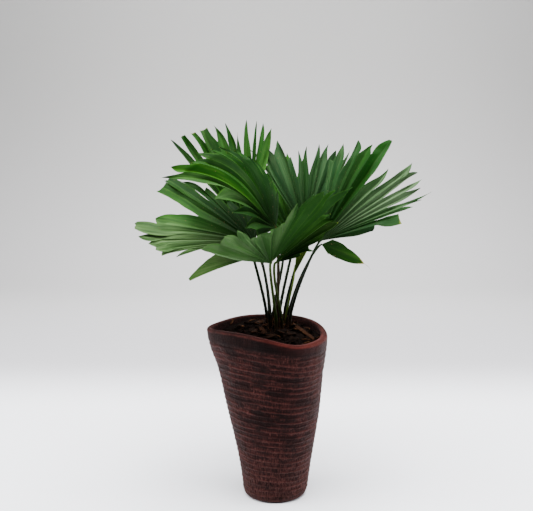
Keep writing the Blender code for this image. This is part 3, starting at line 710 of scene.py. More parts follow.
def backdrop_material():
    """Pale paper, with painted light and shade: darker where it rises and at its sides."""
    paint = Paint("paper")
    coords = paint.coords()
    x, y, z = paint.parts(coords)
    rise = paint.math("ADD", y, z)
    mottle = paint.noise(coords, 3.0, detail=2.0)
    colour = paint.mix((0.945, 0.955, 1.000), (0.930, 0.940, 0.990), mottle)
    # Painted light and shade up the sweep: darker where it rises, lighter partway up, darker again at
    # the top.
    colour = paint.mix(colour, (0.530, 0.525, 0.550), paint.spread(rise, 0.42, 0.82))
    colour = paint.mix(colour, (0.690, 0.682, 0.690), paint.spread(rise, 0.82, 1.60))
    colour = paint.mix(colour, (0.520, 0.515, 0.505), paint.spread(rise, 1.90, 3.30))
    # Painted shade: the paper darkens towards its sides.
    away = paint.math("ABSOLUTE", paint.math("SUBTRACT", x, 0.12))
    side = paint.times(paint.spread(away, 0.2, 1.4, 0.0, 0.25), paint.spread(rise, 0.8, 1.8))
    colour = paint.mix(colour, (0.10, 0.10, 0.10), side)
    paint.set(Base_Color=colour, Roughness=0.9, Specular_IOR_Level=0.2)
    return paint.made


# Pot


def between(ends, share):
    """The value at a share of the way from the first end to the second."""
    return ends[0] + (ends[1] - ends[0]) * share


def round_curve(values, degrees):
    """A smooth closed curve through values that stand RIM_STEP degrees apart."""
    count = len(values)
    place = (degrees % 360) / RIM_STEP
    k = int(place)
    t = place - k
    a, b, c, d = (values[(k + i) % count] for i in (-1, 0, 1, 2))
    return b + 0.5 * t * (c - a + t * (2 * a - 5 * b + 4 * c - d + t * (3 * (b - c) + d - a)))


def level_spot(degrees, radius, z):
    """The point at a turn and a radius round the Z axis."""
    turn = math.radians(degrees)
    return Vector((radius * math.cos(turn), radius * math.sin(turn), z))


def rim_height(degrees):
    return round_curve(RIM_HEIGHTS, degrees)


def pot_point(degrees, height, inset):
    """A point of the pot's wall: height is its share of the rim's height, inset is inwards."""
    turn = math.radians(degrees)
    share = max(height, 0.0) ** (WALL_LEAN - LEAN_SWING * math.cos(turn))
    radius = FOOT_RADIUS + (round_curve(RIM_RADII, degrees) - FOOT_RADIUS) * share - inset
    centre = RIM_CENTRE * share
    z = rim_height(degrees) * height
    return Vector((centre.x + radius * math.cos(turn), centre.y + radius * math.sin(turn), z))


def inner_point(degrees, z, gap):
    """The point of the pot's inner wall at a level, moved inwards by a gap."""
    return pot_point(degrees, z / rim_height(degrees), POT_WALL + gap)


def wall_point(degrees, height, inset):
    """A point of the clay: the pot's wall, whose last part stands higher towards the front."""
    point = pot_point(degrees, height, inset)
    point.z += round_curve(LIP_RISE, degrees) * smooth_step(0.75, 1.0, height)
    return point


def rib_phase(height):
    """How many ribs up the wall a height lies, with crests at whole numbers, and their count."""
    tall = rim_height(180)
    top = 1.0 - PLAIN_BAND / tall
    first = FIRST_RIB / tall
    count = round((top - first) * tall / RIB_PITCH)
    return (height - first) / (top - first) * count, count


def wall_form(degrees, height):
    """The wall's inset, its crest share and its plain share: worn ribs, scratches, a smooth band."""
    turn = math.radians(degrees)
    x, y = math.cos(turn), math.sin(turn)

    def clouds(around, up):
        return noise.noise(Vector((x * around, y * around, height * up)))

    phase, count = rib_phase(height)
    phase += 0.20 * clouds(1.6, 11) + 0.06 * clouds(9, 40)
    crest = (0.5 + 0.5 * math.cos(2 * math.pi * phase)) ** 5 * smooth_step(-0.60, 0.0, clouds(5, 60))
    plain = smooth_step(count + 0.3, count + 0.9, phase)
    depth = (1 - plain) * (1 - crest) * (RIB_DEPTH * 0.8 + COMB_DEPTH * clouds(40, 70))
    depth += WALL_WEAR * (1 + clouds(12, 9))
    return depth - swell(degrees, height), crest * (1 - plain), plain


def swell(degrees, height):
    """How far the wall swells outwards: under the rim, most on the left, and round its middle."""
    below = (1 - height) * rim_height(degrees)
    left = (0.5 - 0.5 * math.cos(math.radians(degrees))) ** 2
    shoulder = between(SHOULDER, left) * math.exp(-(((below - SHOULDER_DROP) / SHOULDER_HEIGHT) ** 2))
    return shoulder + BELLY * math.exp(-(((height - BELLY_HEIGHT) / BELLY_REACH) ** 2))


def rim_red(degrees, height):
    """How far the red band under the rim reaches down, strongest at the front right."""
    front = 0.5 + 0.5 * math.cos(math.radians(degrees - RIM_RED_TURN))
    reach = between(RIM_RED_REACH, front**6)
    return between(RIM_RED_SHARE, front**5) * smooth_step(1 - reach, 1 - reach * 0.25, height)


def foot_spot(degrees, n):
    """A point and look of ring n of the rounded foot. A look is crest, shade and rim red; on the lip
    the crest is a painted edge highlight, partly wear.
    """
    turn = math.pi / 2 * n / FOOT_RINGS
    radius = FOOT_RADIUS - FOOT_ROUNDING + (FOOT_ROUNDING - FOOT_EASE) * math.sin(turn)
    return level_spot(degrees, radius, FOOT_ROUNDING * (1 - math.cos(turn))), (0.2, 0.0, 0.0)


def wall_spot(degrees, n):
    """The same for the ribbed wall and its plain band."""
    height = between(WALL_SPAN, n / (WALL_RINGS - 1))
    inset, crest, plain = wall_form(degrees, height)
    look = (crest, BAND_DARK * plain, rim_red(degrees, height))
    return wall_point(degrees, height, inset), look


def lip_spot(degrees, n):
    """The same for the soft lip: red along its two edges, partly wear and partly painted highlight,
    and darker between them.
    """
    turn = math.pi * n / LIP_RINGS
    outside = 1 - WALL_SPAN[1]
    drop = (outside if n < LIP_RINGS / 2 else LIP_SHARE) * (1 - math.sin(turn))
    roll = (1 - math.cos(turn)) / 2
    # Painted highlight, partly wear: red lines along the lip's two rounded edges.
    edge = math.exp(-((n - 2) ** 2)) + math.exp(-((n - LIP_RINGS + 4) ** 2))
    start = wall_form(degrees, WALL_SPAN[1])[0]
    inset = start + (POT_WALL + round_curve(LIP_BULGE, degrees) - start) * roll
    worn = noise.noise(Vector((math.cos(math.radians(degrees)) * 9, degrees / 60, roll * 6)))
    look = (edge, LIP_DARK * (1 - edge), rim_red(degrees, 1 - drop))
    return wall_point(degrees, 1 - drop, inset + LIP_WEAR * worn), look


def inner_spot(degrees, n):
    """The same for the upper part of the inner wall, in painted shade that deepens downwards."""
    height = 1 - LIP_SHARE - INNER_DROP * n / INNER_RINGS
    inset = POT_WALL + INNER_WAVE * math.sin(n * 1.9)
    inset += max(0.0, 1 - n / 3) ** 2 * round_curve(LIP_BULGE, degrees)
    return wall_point(degrees, height, inset), (0.0, between(INNER_SHADE, n / INNER_RINGS), 0.0)


def deep_spot(degrees, n):
    """The same for the lower part of the inner wall, and for the floor inside, both in deep painted
    shade.
    """
    if n < len(INNER_HEIGHTS):
        spot = pot_point(degrees, INNER_HEIGHTS[n], POT_WALL)
    else:
        spot = level_spot(degrees, FOOT_RADIUS - POT_WALL, POT_FLOOR)
    return spot, (0.0, DEEP_SHADE, 0.0)


def build_pot():
    """The hollow vase, ring by ring from under its foot, over the lip, to its floor inside."""
    body = Body()
    rings = []
    for find, numbers in (
        (foot_spot, range(FOOT_RINGS)),
        (wall_spot, range(WALL_RINGS)),
        (lip_spot, range(1, LIP_RINGS + 1)),
        (inner_spot, range(1, INNER_RINGS + 1)),
        (deep_spot, range(len(INNER_HEIGHTS) + 1)),
    ):
        for n in numbers:
            spots = [find(360 * i / POT_SIDES, n) for i in range(POT_SIDES)]
            rings.append([body.point(spot, tuple(spot), look) for spot, look in spots])
    body.skin(rings)
    pot = body.build("clay_pot", clay_material(), sharp=60)
    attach(pot, "root")
    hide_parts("pot")


# Soil and bark


def bark_height(x, y):
    """The bark's level: tilted as the rim is, heaped round the stems and banked up behind."""
    offset = Vector((x, y)) - RIM_CENTRE
    distance = (Vector((x, y)) - CROWN).length
    heap = HEAP_HEIGHT * math.exp(-((distance / HEAP_WIDTH) ** 2) / 2)
    bank = min(max(offset.dot(BANK_SIDE) / BANK_REACH, 0.0), 1.0)
    return BARK_LEVEL + BARK_SLOPE.dot(offset) + heap + BANK_HEIGHT * bank**3


def bark_edge(degrees, gap):
    """The place where the bark's level meets the pot's inner wall, less a gap."""
    point = inner_point(degrees, BARK_LEVEL, gap)
    for _ in range(3):
        point = inner_point(degrees, bark_height(point.x, point.y), gap)
    return Vector((point.x, point.y))


def wall_room(x, y):
    """How far a place lies inside the pot's inner wall at the bark's level."""
    degrees = math.degrees(math.atan2(y - RIM_CENTRE.y, x - RIM_CENTRE.x))
    wall = inner_point(degrees, BARK_LEVEL, 0.0)
    flat = Vector((wall.x, wall.y)) - RIM_CENTRE
    return flat.length - (Vector((x, y)) - RIM_CENTRE).length


def bed_spot(degrees, share):
    """A point of the bed's crumbly top: share runs from 0 at its middle to 1 at the wall."""
    flat = RIM_CENTRE + (bark_edge(degrees, BED_GAP) - RIM_CENTRE) * share
    crumbs = noise.fractal(Vector((flat.x, flat.y, 0)) * BED_GRAIN, 0.9, 2.0, 4)
    return Vector((flat.x, flat.y, bark_height(*flat) + BED_ROUGHNESS * crumbs - BED_DROP))


def add_bed(body):
    """The bed under the chips, closed at its sides and foot."""
    turns = [360 * i / BED_SIDES for i in range(BED_SIDES)]
    rings = [[inner_point(d, SOIL_TOP + CLEARANCE, BED_GAP) for d in turns]]
    for n in range(BED_RINGS):
        rings.append([bed_spot(d, 1 - n / BED_RINGS) for d in turns])
    body.skin([[body.point(spot, tuple(spot), BED_LOOK) for spot in ring] for ring in rings])


def add_chip(body, draw, centre, length, width, thickness, turn, tip, roll, tone, lift, fine):
    """One bark chip: a flaking slab with torn ends and worn corners, bent a little.

    lift is how far its middle lies over the bed, in thicknesses, and fine how many faces it has
    along and across.
    """
    steps, rows = fine
    place = Matrix.Translation((*centre, bark_height(*centre) + thickness * lift))
    place = place @ Matrix.Rotation(math.radians(turn), 4, "Z")
    place = place @ Matrix.Rotation(math.radians(tip), 4, "Y")
    place = place @ Matrix.Rotation(math.radians(roll), 4, "X")
    taper = draw.uniform(-0.35, 0.35)
    bend = draw.uniform(-0.25, 0.25) * thickness
    torn = [[draw.uniform(-0.16, 0.05) for _ in range(rows + 1)] for _ in range(2)]
    own = draw.uniform(0, 9)
    layers = []
    for face in (-1, 1):
        layer = []
        for u in range(steps + 1):
            for v in range(rows + 1):
                x, y = u / steps - 0.5, v / rows - 0.5
                end = torn[0][v] if x < 0 else torn[1][v]
                px = x * length * (1 + end * abs(2 * x) ** 3)
                py = y * width * (1 + taper * x) * (1 - 0.18 * abs(2 * x) ** 3)
                py += 0.05 * width * noise.noise(Vector((px * 300, own, 0)))
                worn = 1 - 0.55 * max(abs(2 * x) ** 4, abs(2 * y) ** 4)
                flake = noise.noise(Vector((px * 160, py * 420, own)))
                pz = face * thickness / 2 * worn * (1 + 0.45 * flake)
                pz += bend * (1 - 4 * x * x)
                spot = place @ Vector((px, py, pz))
                layer.append(body.point(spot, (px + own, py + own, pz), (tone, 0, 0)))
        layers.append(layer)
    low, high = layers
    line = rows + 1
    for u in range(steps):
        for v in range(rows):
            a = u * line + v
            body.face((high[a], high[a + line], high[a + line + 1], high[a + 1]))
            body.face((low[a], low[a + 1], low[a + line + 1], low[a + line]))
    border = [*range(rows), *(u * line + rows for u in range(steps))]
    border += [steps * line + v for v in range(rows, 0, -1)]
    border += [u * line for u in range(steps, 0, -1)]
    for a, b in zip(border, border[1:] + border[:1]):
        body.face((low[b], low[a], high[a], high[b]))


def bed_place(draw, spread):
    """A random place over the bed."""
    return tuple(middle + draw.uniform(-spread, spread) for middle in RIM_CENTRE)


def chip_list():
    """Where each big chip but the long one lies, drawn over the whole bed."""
    draw = random.Random(CHIP_SEED)
    chips = []
    while len(chips) < CHIP_COUNT:
        place = bed_place(draw, CHIP_SPREAD)
        length = draw.uniform(*CHIP_LENGTH)
        spec = dict(
            centre=place, length=length, width=draw.uniform(*CHIP_WIDTH),
            thickness=draw.uniform(*CHIP_THICKNESS), turn=draw.uniform(0, 180),
            tip=draw.uniform(*CHIP_TIP), roll=draw.uniform(*CHIP_ROLL),
        )
        if wall_room(*place) > 0.5 * math.hypot(length, spec["width"]) + CHIP_ROOM:
            chips.append(spec)
    return chips


def add_crumbs(body, draw):
    """Small chips, splinters and crumbs between the big chips."""
    made = 0
    while made < CRUMB_COUNT:
        place = bed_place(draw, CRUMB_SPREAD)
        splinter = draw.random() < SPLINTER_SHARE
        length = draw.uniform(*(SPLINTER_LENGTH if splinter else CRUMB_LENGTH))
        width = draw.uniform(*SPLINTER_WIDTH) if splinter else length * draw.uniform(*CRUMB_SHAPE)
        if wall_room(*place) < 0.5 * length + CHIP_ROOM:
            continue
        tone = between(CRUMB_TONE, draw.random())
        if draw.random() < BRIGHT_SHARE:
            tone += draw.uniform(*BRIGHT_TONE)
        add_chip(
            body, draw, place, length, width, draw.uniform(*CRUMB_THICKNESS),
            turn=draw.uniform(0, 180), tip=draw.uniform(*CRUMB_TIP), roll=draw.uniform(*CRUMB_ROLL),
            tone=tone, lift=draw.uniform(*CRUMB_LIFT), fine=CRUMB_FINE,
        )
        made += 1


def build_bark():
    """The bark mulch: the bed, the long chip, the other big ones, pale ones and crumbs."""
    draw = random.Random(CHIP_SEED + 1)
    body = Body()
    add_bed(body)
    add_chip(body, draw, **LONG_CHIP)
    for spec in chip_list():
        tone = between(CHIP_TONE, draw.random())
        add_chip(body, draw, tone=tone, lift=CHIP_LIFT, fine=CHIP_FINE, **spec)
    for x, y, length, turn, tip in PALE_CHIPS:
        add_chip(body, draw, (x, y), length, turn=turn, tip=tip, **PALE_CHIP)
    add_crumbs(body, draw)
    bark = body.build("mulch_layer", bark_material())
    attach(bark, "root")
    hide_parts("bark_mulch")


# Fronds


def along_fan(value, degrees):
    """The value at a turn: one number, or (turn, value) pairs with even runs between them."""
    if not isinstance(value, tuple):
        return value
    for (a, low), (b, high) in zip(value, value[1:]):
        if degrees <= b:
            share = min(max((degrees - a) / (b - a), 0.0), 1.0)
            return low + (high - low) * share
    return value[-1][1]


class Fan:
    """A blade's surface and segments, with the draws of its solid.

    Segment i has a rib and the side lines i and i + 1. Stations are shares of its length, fine
    holds those of all rows, marks the stations' rows, and splits the station where each side
    line parts.
    """

    def __init__(self, frond):
        draw = random.Random(frond.seed)
        self.frond = frond
        self.axes = self.fan_axes()
        self.heart = Vector(frond.heart)
        self.count = count = len(frond.tips)
        self.turns = [turn for turn, _ in frond.tips]
        self.lengths = [length for _, length in frond.tips]
        self.step = (self.turns[-1] - self.turns[0]) / (count - 1)
        self.lifts = [draw.uniform(-0.04, 0.02) for _ in range(count)]
        self.drifts = [draw.uniform(-0.3, 0.3) * self.step for _ in range(count)]
        often = 3 if frond.joined else 2
        self.splits = [1] + [draw.choice((2, often, 3)) for _ in range(count - 1)] + [1]
        for j in range(1, count):
            if self.turns[j] - self.turns[j - 1] > 2.2 * self.step:
                self.splits[j] = 2
        split = frond.split
        self.stations = (0.0, split / 2, split, *(split + (1 - split) * f for f in FREE_STATIONS))
        if frond.whole:
            self.stations = WHOLE_STATIONS
            self.lifts = self.drifts = [0.0] * count
            self.splits = [len(WHOLE_STATIONS) - 1] * (count + 1)
        self.ribs = [turn - drift for turn, drift in zip(self.turns, self.drifts)]
        loose = random.Random(frond.seed + LOOSE_SEED)
        most = math.radians(frond.twist)
        self.twists = [loose.uniform(-most, most) for _ in range(count)]
        self.loose = [loose.uniform(-LOOSE_TURN, LOOSE_TURN) for _ in range(count)]
        if frond.whole:
            self.twists = self.loose = [0.0] * count
        self.bows = [along_fan(frond.bow, turn) for turn in self.ribs]
        self.side_bows = [along_fan(frond.bow, self.side_angle(j)) for j in range(count + 1)]
        self.broad = [along_fan(frond.broad, turn) for turn in self.turns]
        self.flat = [along_fan(frond.flat, turn) for turn in self.turns]
        self.fine = [0.0]
        self.marks = [0]
        steps = WHOLE_STEPS if frond.whole else SPLIT_STEPS
        for low, high, number in zip(self.stations, self.stations[1:], steps):
            self.fine += [low + (high - low) * n / number for n in range(1, number + 1)]
            self.marks.append(len(self.fine) - 1)

    def fan_axes(self):
        """The blade's middle direction, its sideways direction and its upper face's normal."""
        frond = self.frond
        heading, rise, roll = (math.radians(v) for v in (frond.heading, frond.rise, frond.roll))
        along = Vector((
            math.cos(rise) * math.cos(heading),
            math.cos(rise) * math.sin(heading),
            math.sin(rise),
        ))
        level = Vector((-math.sin(heading), math.cos(heading), 0.0))
        up = along.cross(level)
        return (
            along,
            level * math.cos(roll) + up * math.sin(roll),
            up * math.cos(roll) - level * math.sin(roll),
        )

    def point(self, degrees, reach):
        """A point of the smooth blade: fan angle, and distance from the heart along the blade."""
        along, across, normal = self.axes
        turn = math.radians(degrees)
        out = along * math.cos(turn) + across * math.sin(turn)
        share = (degrees - self.turns[0]) / (self.turns[-1] - self.turns[0])
        curl = between(self.frond.curl, min(max(share, 0.0), 1.0))
        bend = math.radians(curl) / (CURL_END - CURL_START)
        if reach <= CURL_START:
            return self.heart + out * reach
        end = bend * (reach - CURL_START)
        curve = out * (math.sin(end) / bend) + normal * ((math.cos(end) - 1) / bend)
        return self.heart + out * CURL_START + curve

    def normal(self, degrees, reach):
        """The smooth blade's normal, from two short steps along its surface."""
        reach = max(reach, NORMAL_START)
        here = self.point(degrees, reach)
        outward = self.point(degrees, reach + NORMAL_STEP) - here
        sideways = self.point(degrees + math.degrees(NORMAL_STEP / reach), reach) - here
        return outward.cross(sideways).normalized()

    def side_angle(self, j):
        """The turn of side line j, halfway between two ribs."""
        if j == 0:
            return self.ribs[0] - min(self.step, self.ribs[1] - self.ribs[0]) / 2
        if j == self.count:
            return self.ribs[-1] + min(self.step, self.ribs[-1] - self.ribs[-2]) / 2
        return (self.ribs[j - 1] + self.ribs[j]) / 2

    def side_length(self, j):
        """How far side line j reaches before its segments part."""
        return (self.lengths[max(j - 1, 0)] + self.lengths[min(j, self.count - 1)]) / 2

    def split_share(self, j):
        """Where the segments beside side line j part."""
        return self.stations[self.splits[j]]

    def tip_width(self, i):
        """How wide segment i ends: 0 is a point."""
        return 1.0 if self.frond.whole else self.frond.cut.get(i, 0.0)

    def line(self, i, j, share):
        """Angle, reach, fold height and freedom of segment i on its rib or on its side line j."""
        frond = self.frond
        length = self.lengths[i]
        near, far = self.split_share(i), self.split_share(i + 1)
        parted = min(near, far) if j is None else self.split_share(j)
        free = (share - parted) / (1.0 - parted) if share > parted else 0.0
        narrow = 1.0
        if free > 0:
            narrow = (parted / share) ** 0.5 * (1 - (1 - self.tip_width(i)) * free**frond.taper)
            narrow *= 1 + self.broad[i] * smooth_step(0.0, 0.6, free)
        half = (self.side_angle(i + 1) - self.side_angle(i)) / 2
        edge = 0.0
        reach = length * share
        if j is not None:
            edge = self.side_angle(j) - self.ribs[i]
            wide = 0.6 * self.step
            if abs(edge) > wide:
                edge += (math.copysign(wide, edge) - edge) * min(1.0, 2 * free)
            half = abs(edge)
            reach = (self.side_length(j) * (1 - free) + length * free) * share
        angle = self.ribs[i] + edge * narrow + self.drifts[i] * free**2
        bow = self.bows[i] if j is None else self.side_bows[j]
        angle += bow * math.sin(math.pi * share) + self.loose[i] * math.sin(math.pi * free)
        width = 2 * math.radians(min(half, self.step)) * narrow * reach
        pleat = frond.pleat * width * (-0.5 if j is None else 0.5)
        pleat *= 1 - self.flat[i] * smooth_step(0.0, 0.4, free)
        return angle, max(reach, BLADE_START), pleat + self.lifts[i] * length * free**2, free

    def place(self, i, a, share):
        """A point of segment i: a runs from -1 on its low side over 0 on its rib to 1."""
        rib = self.line(i, None, share)
        side = self.line(i, i if a < 0 else i + 1, share)
        t = abs(a)
        fold = rounded(t)
        reach = rib[1] + (side[1] - rib[1]) * t
        free = rib[3] + (side[3] - rib[3]) * t
        twist = self.twists[i] * side[3] ** 1.5
        away = (side[0] - rib[0]) * t
        angle = rib[0] + away * math.cos(twist)
        height = rib[2] + (side[2] - rib[2]) * fold + math.radians(away) * reach * math.sin(twist)
        normal = self.normal(angle, reach)
        return self.point(angle, reach) + normal * height, normal, reach, free


def rounded(t):
    """A straight fold from 0 to 1 with both its creases rounded off."""
    e = FOLD_ROUNDING
    near = math.hypot(t, e) - e * (1 - t)
    far = math.hypot(1 - t, e) - e * t
    return 0.5 + 0.5 * (near - far) / math.hypot(1, e)


def add_blade(body, fan):
    """The pleated, split fan as one thin closed body."""
    frond = fan.frond
    draw = random.Random(frond.seed + LOOK_SEED)
    wide = len(ACROSS) - 1
    last = len(fan.fine) - 1
    tones = [draw.uniform(-TONE_SWING, TONE_SWING) for _ in fan.turns]
    drying = [along_fan(frond.dry, t) * draw.uniform(*DRY_SWING) for t in fan.turns]
    parts = [draw.uniform(0, 5) for _ in fan.turns]
    sheen_swings = [draw.uniform(-SHEEN_SWING, SHEEN_SWING) for _ in fan.turns]
    jags = [[draw.uniform(*JAGS) for _ in range(2 * wide + 1)] for _ in fan.turns]
    waves = [draw.uniform(0, 6.3) for _ in fan.turns]
    index = {}

    def corner(i, n, k):
        """The upper point in column n and row k of segment i. The lower one follows it."""
        j = i if n == 0 else i + 1 if n == 2 * wide else None
        pointed = k == last and fan.tip_width(i) == 0.0
        if pointed:
            key = ("tip", i)
        elif j is not None and 0 < j < fan.count and k <= fan.marks[fan.splits[j]]:
            key = ("side", j, k)
        else:
            key = (i, n, k)
        if key in index:
            return index[key]
        a = math.copysign(ACROSS[abs(n - wide)], n - wide)
        share = fan.fine[k]
        blunt = fan.tip_width(i) if not frond.whole else 0.0
        place, normal, reach, free = fan.place(i, 0.0 if pointed else a, share)
        if blunt and k == last:
            place = place + (place - fan.heart).normalized() * fan.lengths[i] * jags[i][n]
        wave = math.sin(waves[i] + WAVE_RATE * reach + 2 * a)
        place = place + normal * WAVE_HEIGHT * free * wave
        span = math.radians(fan.step) / 2 * WIDEST * fan.lengths[i]
        side = abs(a)
        if frond.whole:
            side = abs(2 * (i + 0.5 + a / 2) / fan.count - 1)
            span *= fan.count
            free = 1.0
        angle = fan.ribs[i] + abs(a) * (fan.side_angle(i if a < 0 else i + 1) - fan.ribs[i])
        # Distance from the heart, scaled for the painted shade there, which reaches further on some
        # fans.
        along = reach * HUB_SHADE_REACH / along_fan(frond.hub_shade, angle)
        form = (side * span, along, parts[0 if frond.whole else i])
        dryness = smooth_step(1 - drying[i], 1.02, share) if drying[i] > 0 else 0.0
        # The share of painted sheen at this point.
        painted_sheen = max(0.0, along_fan(frond.painted_sheen, angle) + sheen_swings[i])
        look = (along_fan(frond.tone, angle) + tones[i], dryness, painted_sheen)
        half = BLADE_THICKNESS / 2 * (1 - 0.5 * side * min(1, 4 * free))
        index[key] = len(body.points)
        body.point(place + normal * half, form, look, (side, free, 0.0))
        body.point(place - normal * half, form, look, (side, free, 1.0))
        return index[key]

    edges = {}
    for i in range(fan.count):
        for n in range(2 * wide):
            for k in range(last):
                quad = []
                for c in (corner(i, n, k), corner(i, n, k + 1),
                          corner(i, n + 1, k + 1), corner(i, n + 1, k)):
                    if c not in quad:
                        quad.append(c)
                if len(quad) < 3:
                    continue
                body.face(quad)
                body.face([c + 1 for c in reversed(quad)])
                edges.update(dict.fromkeys(zip(quad, quad[1:] + quad[:1])))
    for a, b in edges:
        if (b, a) not in edges:
            body.face((b, a, a + 1, b + 1))


def add_thread(body, fan, i, length, draw):
    """The dry thread that hangs from a tip."""
    start, _, reach, _ = fan.place(i, 0.0, 1.0)
    before = fan.place(i, 0.0, 0.97)[0]
    ahead = (start - before).normalized()
    bow = Vector((draw.uniform(-0.4, 0.4), draw.uniform(-0.4, 0.4), -1.0))
    path = []
    for n in range(THREAD_STEPS + 1):
        s = n / THREAD_STEPS
        path.append(start + ahead * length * (s - 0.06) + bow * length * 0.45 * s * s)
    dry = (0.5, 1.0, 0.0)
    add_sliver(body, path, THREAD_RADIUS, 0.75, (0.0, reach, 1.0), dry, dry)


def stem_path(fan, share):
    """The stem's middle line from the bark to the blade's heart."""
    root = Vector((*fan.frond.root, bark_height(*fan.frond.root) + STEM_START))
    heart = fan.heart
    rise = (heart - root).length
    first = root + Vector((0, 0, STEM_PULL * rise))
    last = (fan.axes[0] * 0.5 + (heart - root).normalized()).normalized()
    second = heart - last * STEM_PULL * rise
    s = 1 - share
    return root * s**3 + first * 3 * s**2 * share + second * 3 * s * share**2 + heart * share**3


def stem_width(frond, share):
    return frond.stem * (1.12 - 0.42 * (1 + share * COARSE_RINGS) / (COARSE_RINGS + 2))


def add_stem(body, fan, draw):
    """The stem from the soil to a short rib under the blade. A look is share, foot and spine."""
    along, _, normal = fan.axes
    sink = fan.frond.stem * RIB_SINK
    shares = [n / STEM_RINGS for n in range(STEM_RINGS + 1)]
    path = [stem_path(fan, s) for s in shares]
    radii = [stem_width(fan.frond, s) for s in shares]
    path.insert(0, path[0] - Vector((0, 0, STEM_DEPTH)))
    radii.insert(0, radii[0])
    path[-1] = path[-1] - normal * sink
    broad = radii[-1]
    for n in range(1, RIB_STEPS + 1):
        s = n / RIB_STEPS
        path.append(fan.heart + along * RIB_LENGTH * s - normal * (sink * (1 - s) + RIB_RADIUS))
        radii.append(broad * (1 - s) + RIB_RADIUS * s)
    part = draw.uniform(0, 20)
    ridge = draw.uniform(0, 6.3)
    spots = [0.0]
    for a, b in zip(path, path[1:]):
        spots.append(spots[-1] + (b - a).length)

    def row(n, turn):
        share = min(max((spots[n] - STEM_DEPTH) / (spots[STEM_RINGS] - STEM_DEPTH), 0.0), 1.0)
        foot = 1 - smooth_step(0.0, 0.14, share)
        wave = 1 + 0.5 * math.cos(2 * math.pi * turn + ridge)
        return (wave, spots[n], part), (share, foot, 0.0)

    add_tube(body, path, radii, STEM_SIDES, row)


def add_spines(body, fan, draw):
    """The short hooked spines along both edges of the stem."""
    frond = fan.frond
    level = fan.axes[1]
    length = (fan.heart - stem_path(fan, 0.0)).length
    for n in range(2 * frond.spines):
        share = (SPINE_START + SPINE_STEP * (n // 2 + 0.5 * (n % 2))) / length
        if share > SPINE_END:
            break
        centre = stem_path(fan, share)
        ahead = (stem_path(fan, share + 0.02) - centre).normalized()
        side = (level - ahead * level.dot(ahead)).normalized() * (1 if n % 2 else -1)
        start = stem_width(frond, share) - SPINE_ROOT
        size = SPINE_LENGTH * (draw.uniform(*SPINE_SHARE) if n >= frond.spines else 1.0)
        path = []
        for k in range(SPINE_STEPS + 1):
            s = k / SPINE_STEPS
            path.append(centre + side * (start + (size + SPINE_ROOT) * s) - ahead * size * 0.4 * s * s)
        add_sliver(body, path, SPINE_RADIUS, 0.95, (0.0, 0.0, 0.0), (0.5, 0.0, 0.7))


def build_frond(frond, leaves, stalks):
    """One frond: its blade and its stem, each a piece in place of the plain solid."""
    fan = Fan(frond)
    draw = random.Random(frond.seed + STEM_SEED)
    blade = Body()
    add_blade(blade, fan)
    for i, length in frond.threads.items():
        add_thread(blade, fan, i, length, draw)
    leaf = blade.build(frond.name + "_blade", leaves[frond.leaf])
    stem = Body()
    add_stem(stem, fan, draw)
    add_spines(stem, fan, draw)
    stalk = stem.build(frond.name + "_stem", stalks[frond.stalk])
    for piece in (leaf, stalk):
        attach(piece, "root")
        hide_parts(frond.name)


def build_fibres(stalk):
    """Brown fibre of old leaf bases, standing and lying among the stems' feet."""
    draw = random.Random(FIBRE_SEED)
    body = Body()
    for _ in range(FIBRE_COUNT):
        turn = draw.uniform(0, 2 * math.pi)
        away = draw.uniform(*FIBRE_REACH)
        x = FIBRE_MIDDLE[0] + away * math.cos(turn)
        y = FIBRE_MIDDLE[1] + away * math.sin(turn)
        start = Vector((x, y, bark_height(x, y) - FIBRE_SINK))
        length = draw.uniform(*FIBRE_LENGTH)
        lean = Vector((draw.uniform(-0.5, 0.5), draw.uniform(-0.5, 0.5), 1.0)).normalized()
        bow = Vector((draw.uniform(-0.4, 0.4), draw.uniform(-0.4, 0.4), -0.1))
        shares = [n / FIBRE_STEPS for n in range(FIBRE_STEPS + 1)]
        path = [start + lean * length * s + bow * length * s**2 for s in shares]
        form = (draw.uniform(0, 3), length, 0.0)
        add_sliver(body, path, FIBRE_RADIUS, 0.75, form, FIBRE_LOOK)
    fibres = body.build("crown_fibre", stalk)
    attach(fibres, "root")


def build_plant():
    """All fronds, the spear leaf among them, and the fibre at their feet."""
    leaves = {name: leaf_material(name, *look) for name, look in LEAVES.items()}
    stalks = {name: stalk_material(name, *look) for name, look in STALKS.items()}
    for frond in FRONDS:
        build_frond(frond, leaves, stalks)
    build_fibres(stalks["stalk_red"])


# Studio
SWEEP_BACK = 2.40
SWEEP_BEND = 0.80
SWEEP_HALF = 7.0
SWEEP_HEIGHT = 3.0
SWEEP_STEPS = 24
LIGHTS = (
    # name, place, aim, size, watts
    ("left_box", (-1.5, -0.2, 1.2), (0, 0, 0.30), (0.9, 1.4), 25),
    ("right_box", (1.6, 0.0, 1.1), (0, 0, 0.30), (0.9, 1.4), 28),
    ("top_box", (0.0, 0.0, 2.1), (0, 0, 0), (2.0, 1.6), 200),
)
SURROUND = (0.95, 0.97, 1.0, 1.0)
SURROUND_STRENGTH = 0.14
CAMERA_PLACE = (-0.0153, -1.74, 0.77)
CAMERA_PITCH = -11.0
CAMERA_LENS = 69.57
CAMERA_SENSOR = 36.0


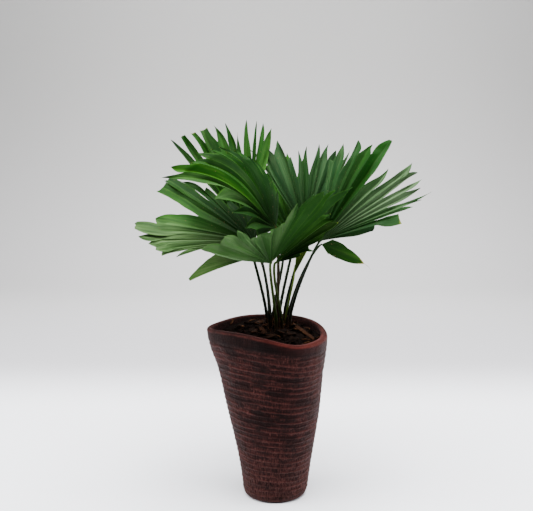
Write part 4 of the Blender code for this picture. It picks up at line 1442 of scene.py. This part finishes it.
def build_studio():
    """A paper sweep that runs from the floor up behind the plant."""
    start = SWEEP_BACK - SWEEP_BEND
    profile = [(-SWEEP_HALF, 0.0), (start, 0.0)]
    for n in range(1, SWEEP_STEPS + 1):
        turn = math.pi / 2 * n / SWEEP_STEPS
        profile.append((start + SWEEP_BEND * math.sin(turn), SWEEP_BEND * (1 - math.cos(turn))))
    profile.append((SWEEP_BACK, SWEEP_HEIGHT))
    points = [(x, y, z) for y, z in profile for x in (-SWEEP_HALF, SWEEP_HALF)]
    faces = [(2 * n, 2 * n + 1, 2 * n + 3, 2 * n + 2) for n in range(len(profile) - 1)]
    mesh = bpy.data.meshes.new("sweep")
    mesh.from_pydata(points, [], faces)
    mesh.shade_smooth()
    mesh.materials.append(backdrop_material())
    sweep = bpy.data.objects.new("sweep", mesh)
    bpy.context.scene.collection.objects.link(sweep)


def add_light(name, place, aim, size, watts):
    data = bpy.data.lights.new(name, "AREA")
    data.shape = "RECTANGLE"
    data.size, data.size_y = size
    data.energy = watts
    light = bpy.data.objects.new(name, data)
    light.location = place
    light.rotation_euler = (Vector(aim) - Vector(place)).to_track_quat("-Z", "Y").to_euler()
    bpy.context.scene.collection.objects.link(light)


def build_lights():
    """Two wide side boxes, a soft top, and an even grey surround."""
    for light in LIGHTS:
        add_light(*light)
    world = bpy.context.scene.world or bpy.data.worlds.new("world")
    bpy.context.scene.world = world
    world.use_nodes = True
    surround = world.node_tree.nodes["Background"]
    surround.inputs["Color"].default_value = SURROUND
    surround.inputs["Strength"].default_value = SURROUND_STRENGTH


def build_camera():
    """The photograph's view: from the front and a little above."""
    data = bpy.data.cameras.new("camera")
    data.sensor_width = CAMERA_SENSOR
    data.lens = CAMERA_LENS
    camera = bpy.data.objects.new("camera", data)
    camera.location = CAMERA_PLACE
    camera.rotation_euler = (math.radians(90 + CAMERA_PITCH), 0.0, 0.0)
    bpy.context.scene.collection.objects.link(camera)
    bpy.context.scene.camera = camera


build_pot()
build_bark()
build_plant()
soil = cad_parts["soil"]
soil.data.materials.clear()
soil.data.materials.append(soil_material())
build_studio()
build_lights()
build_camera()
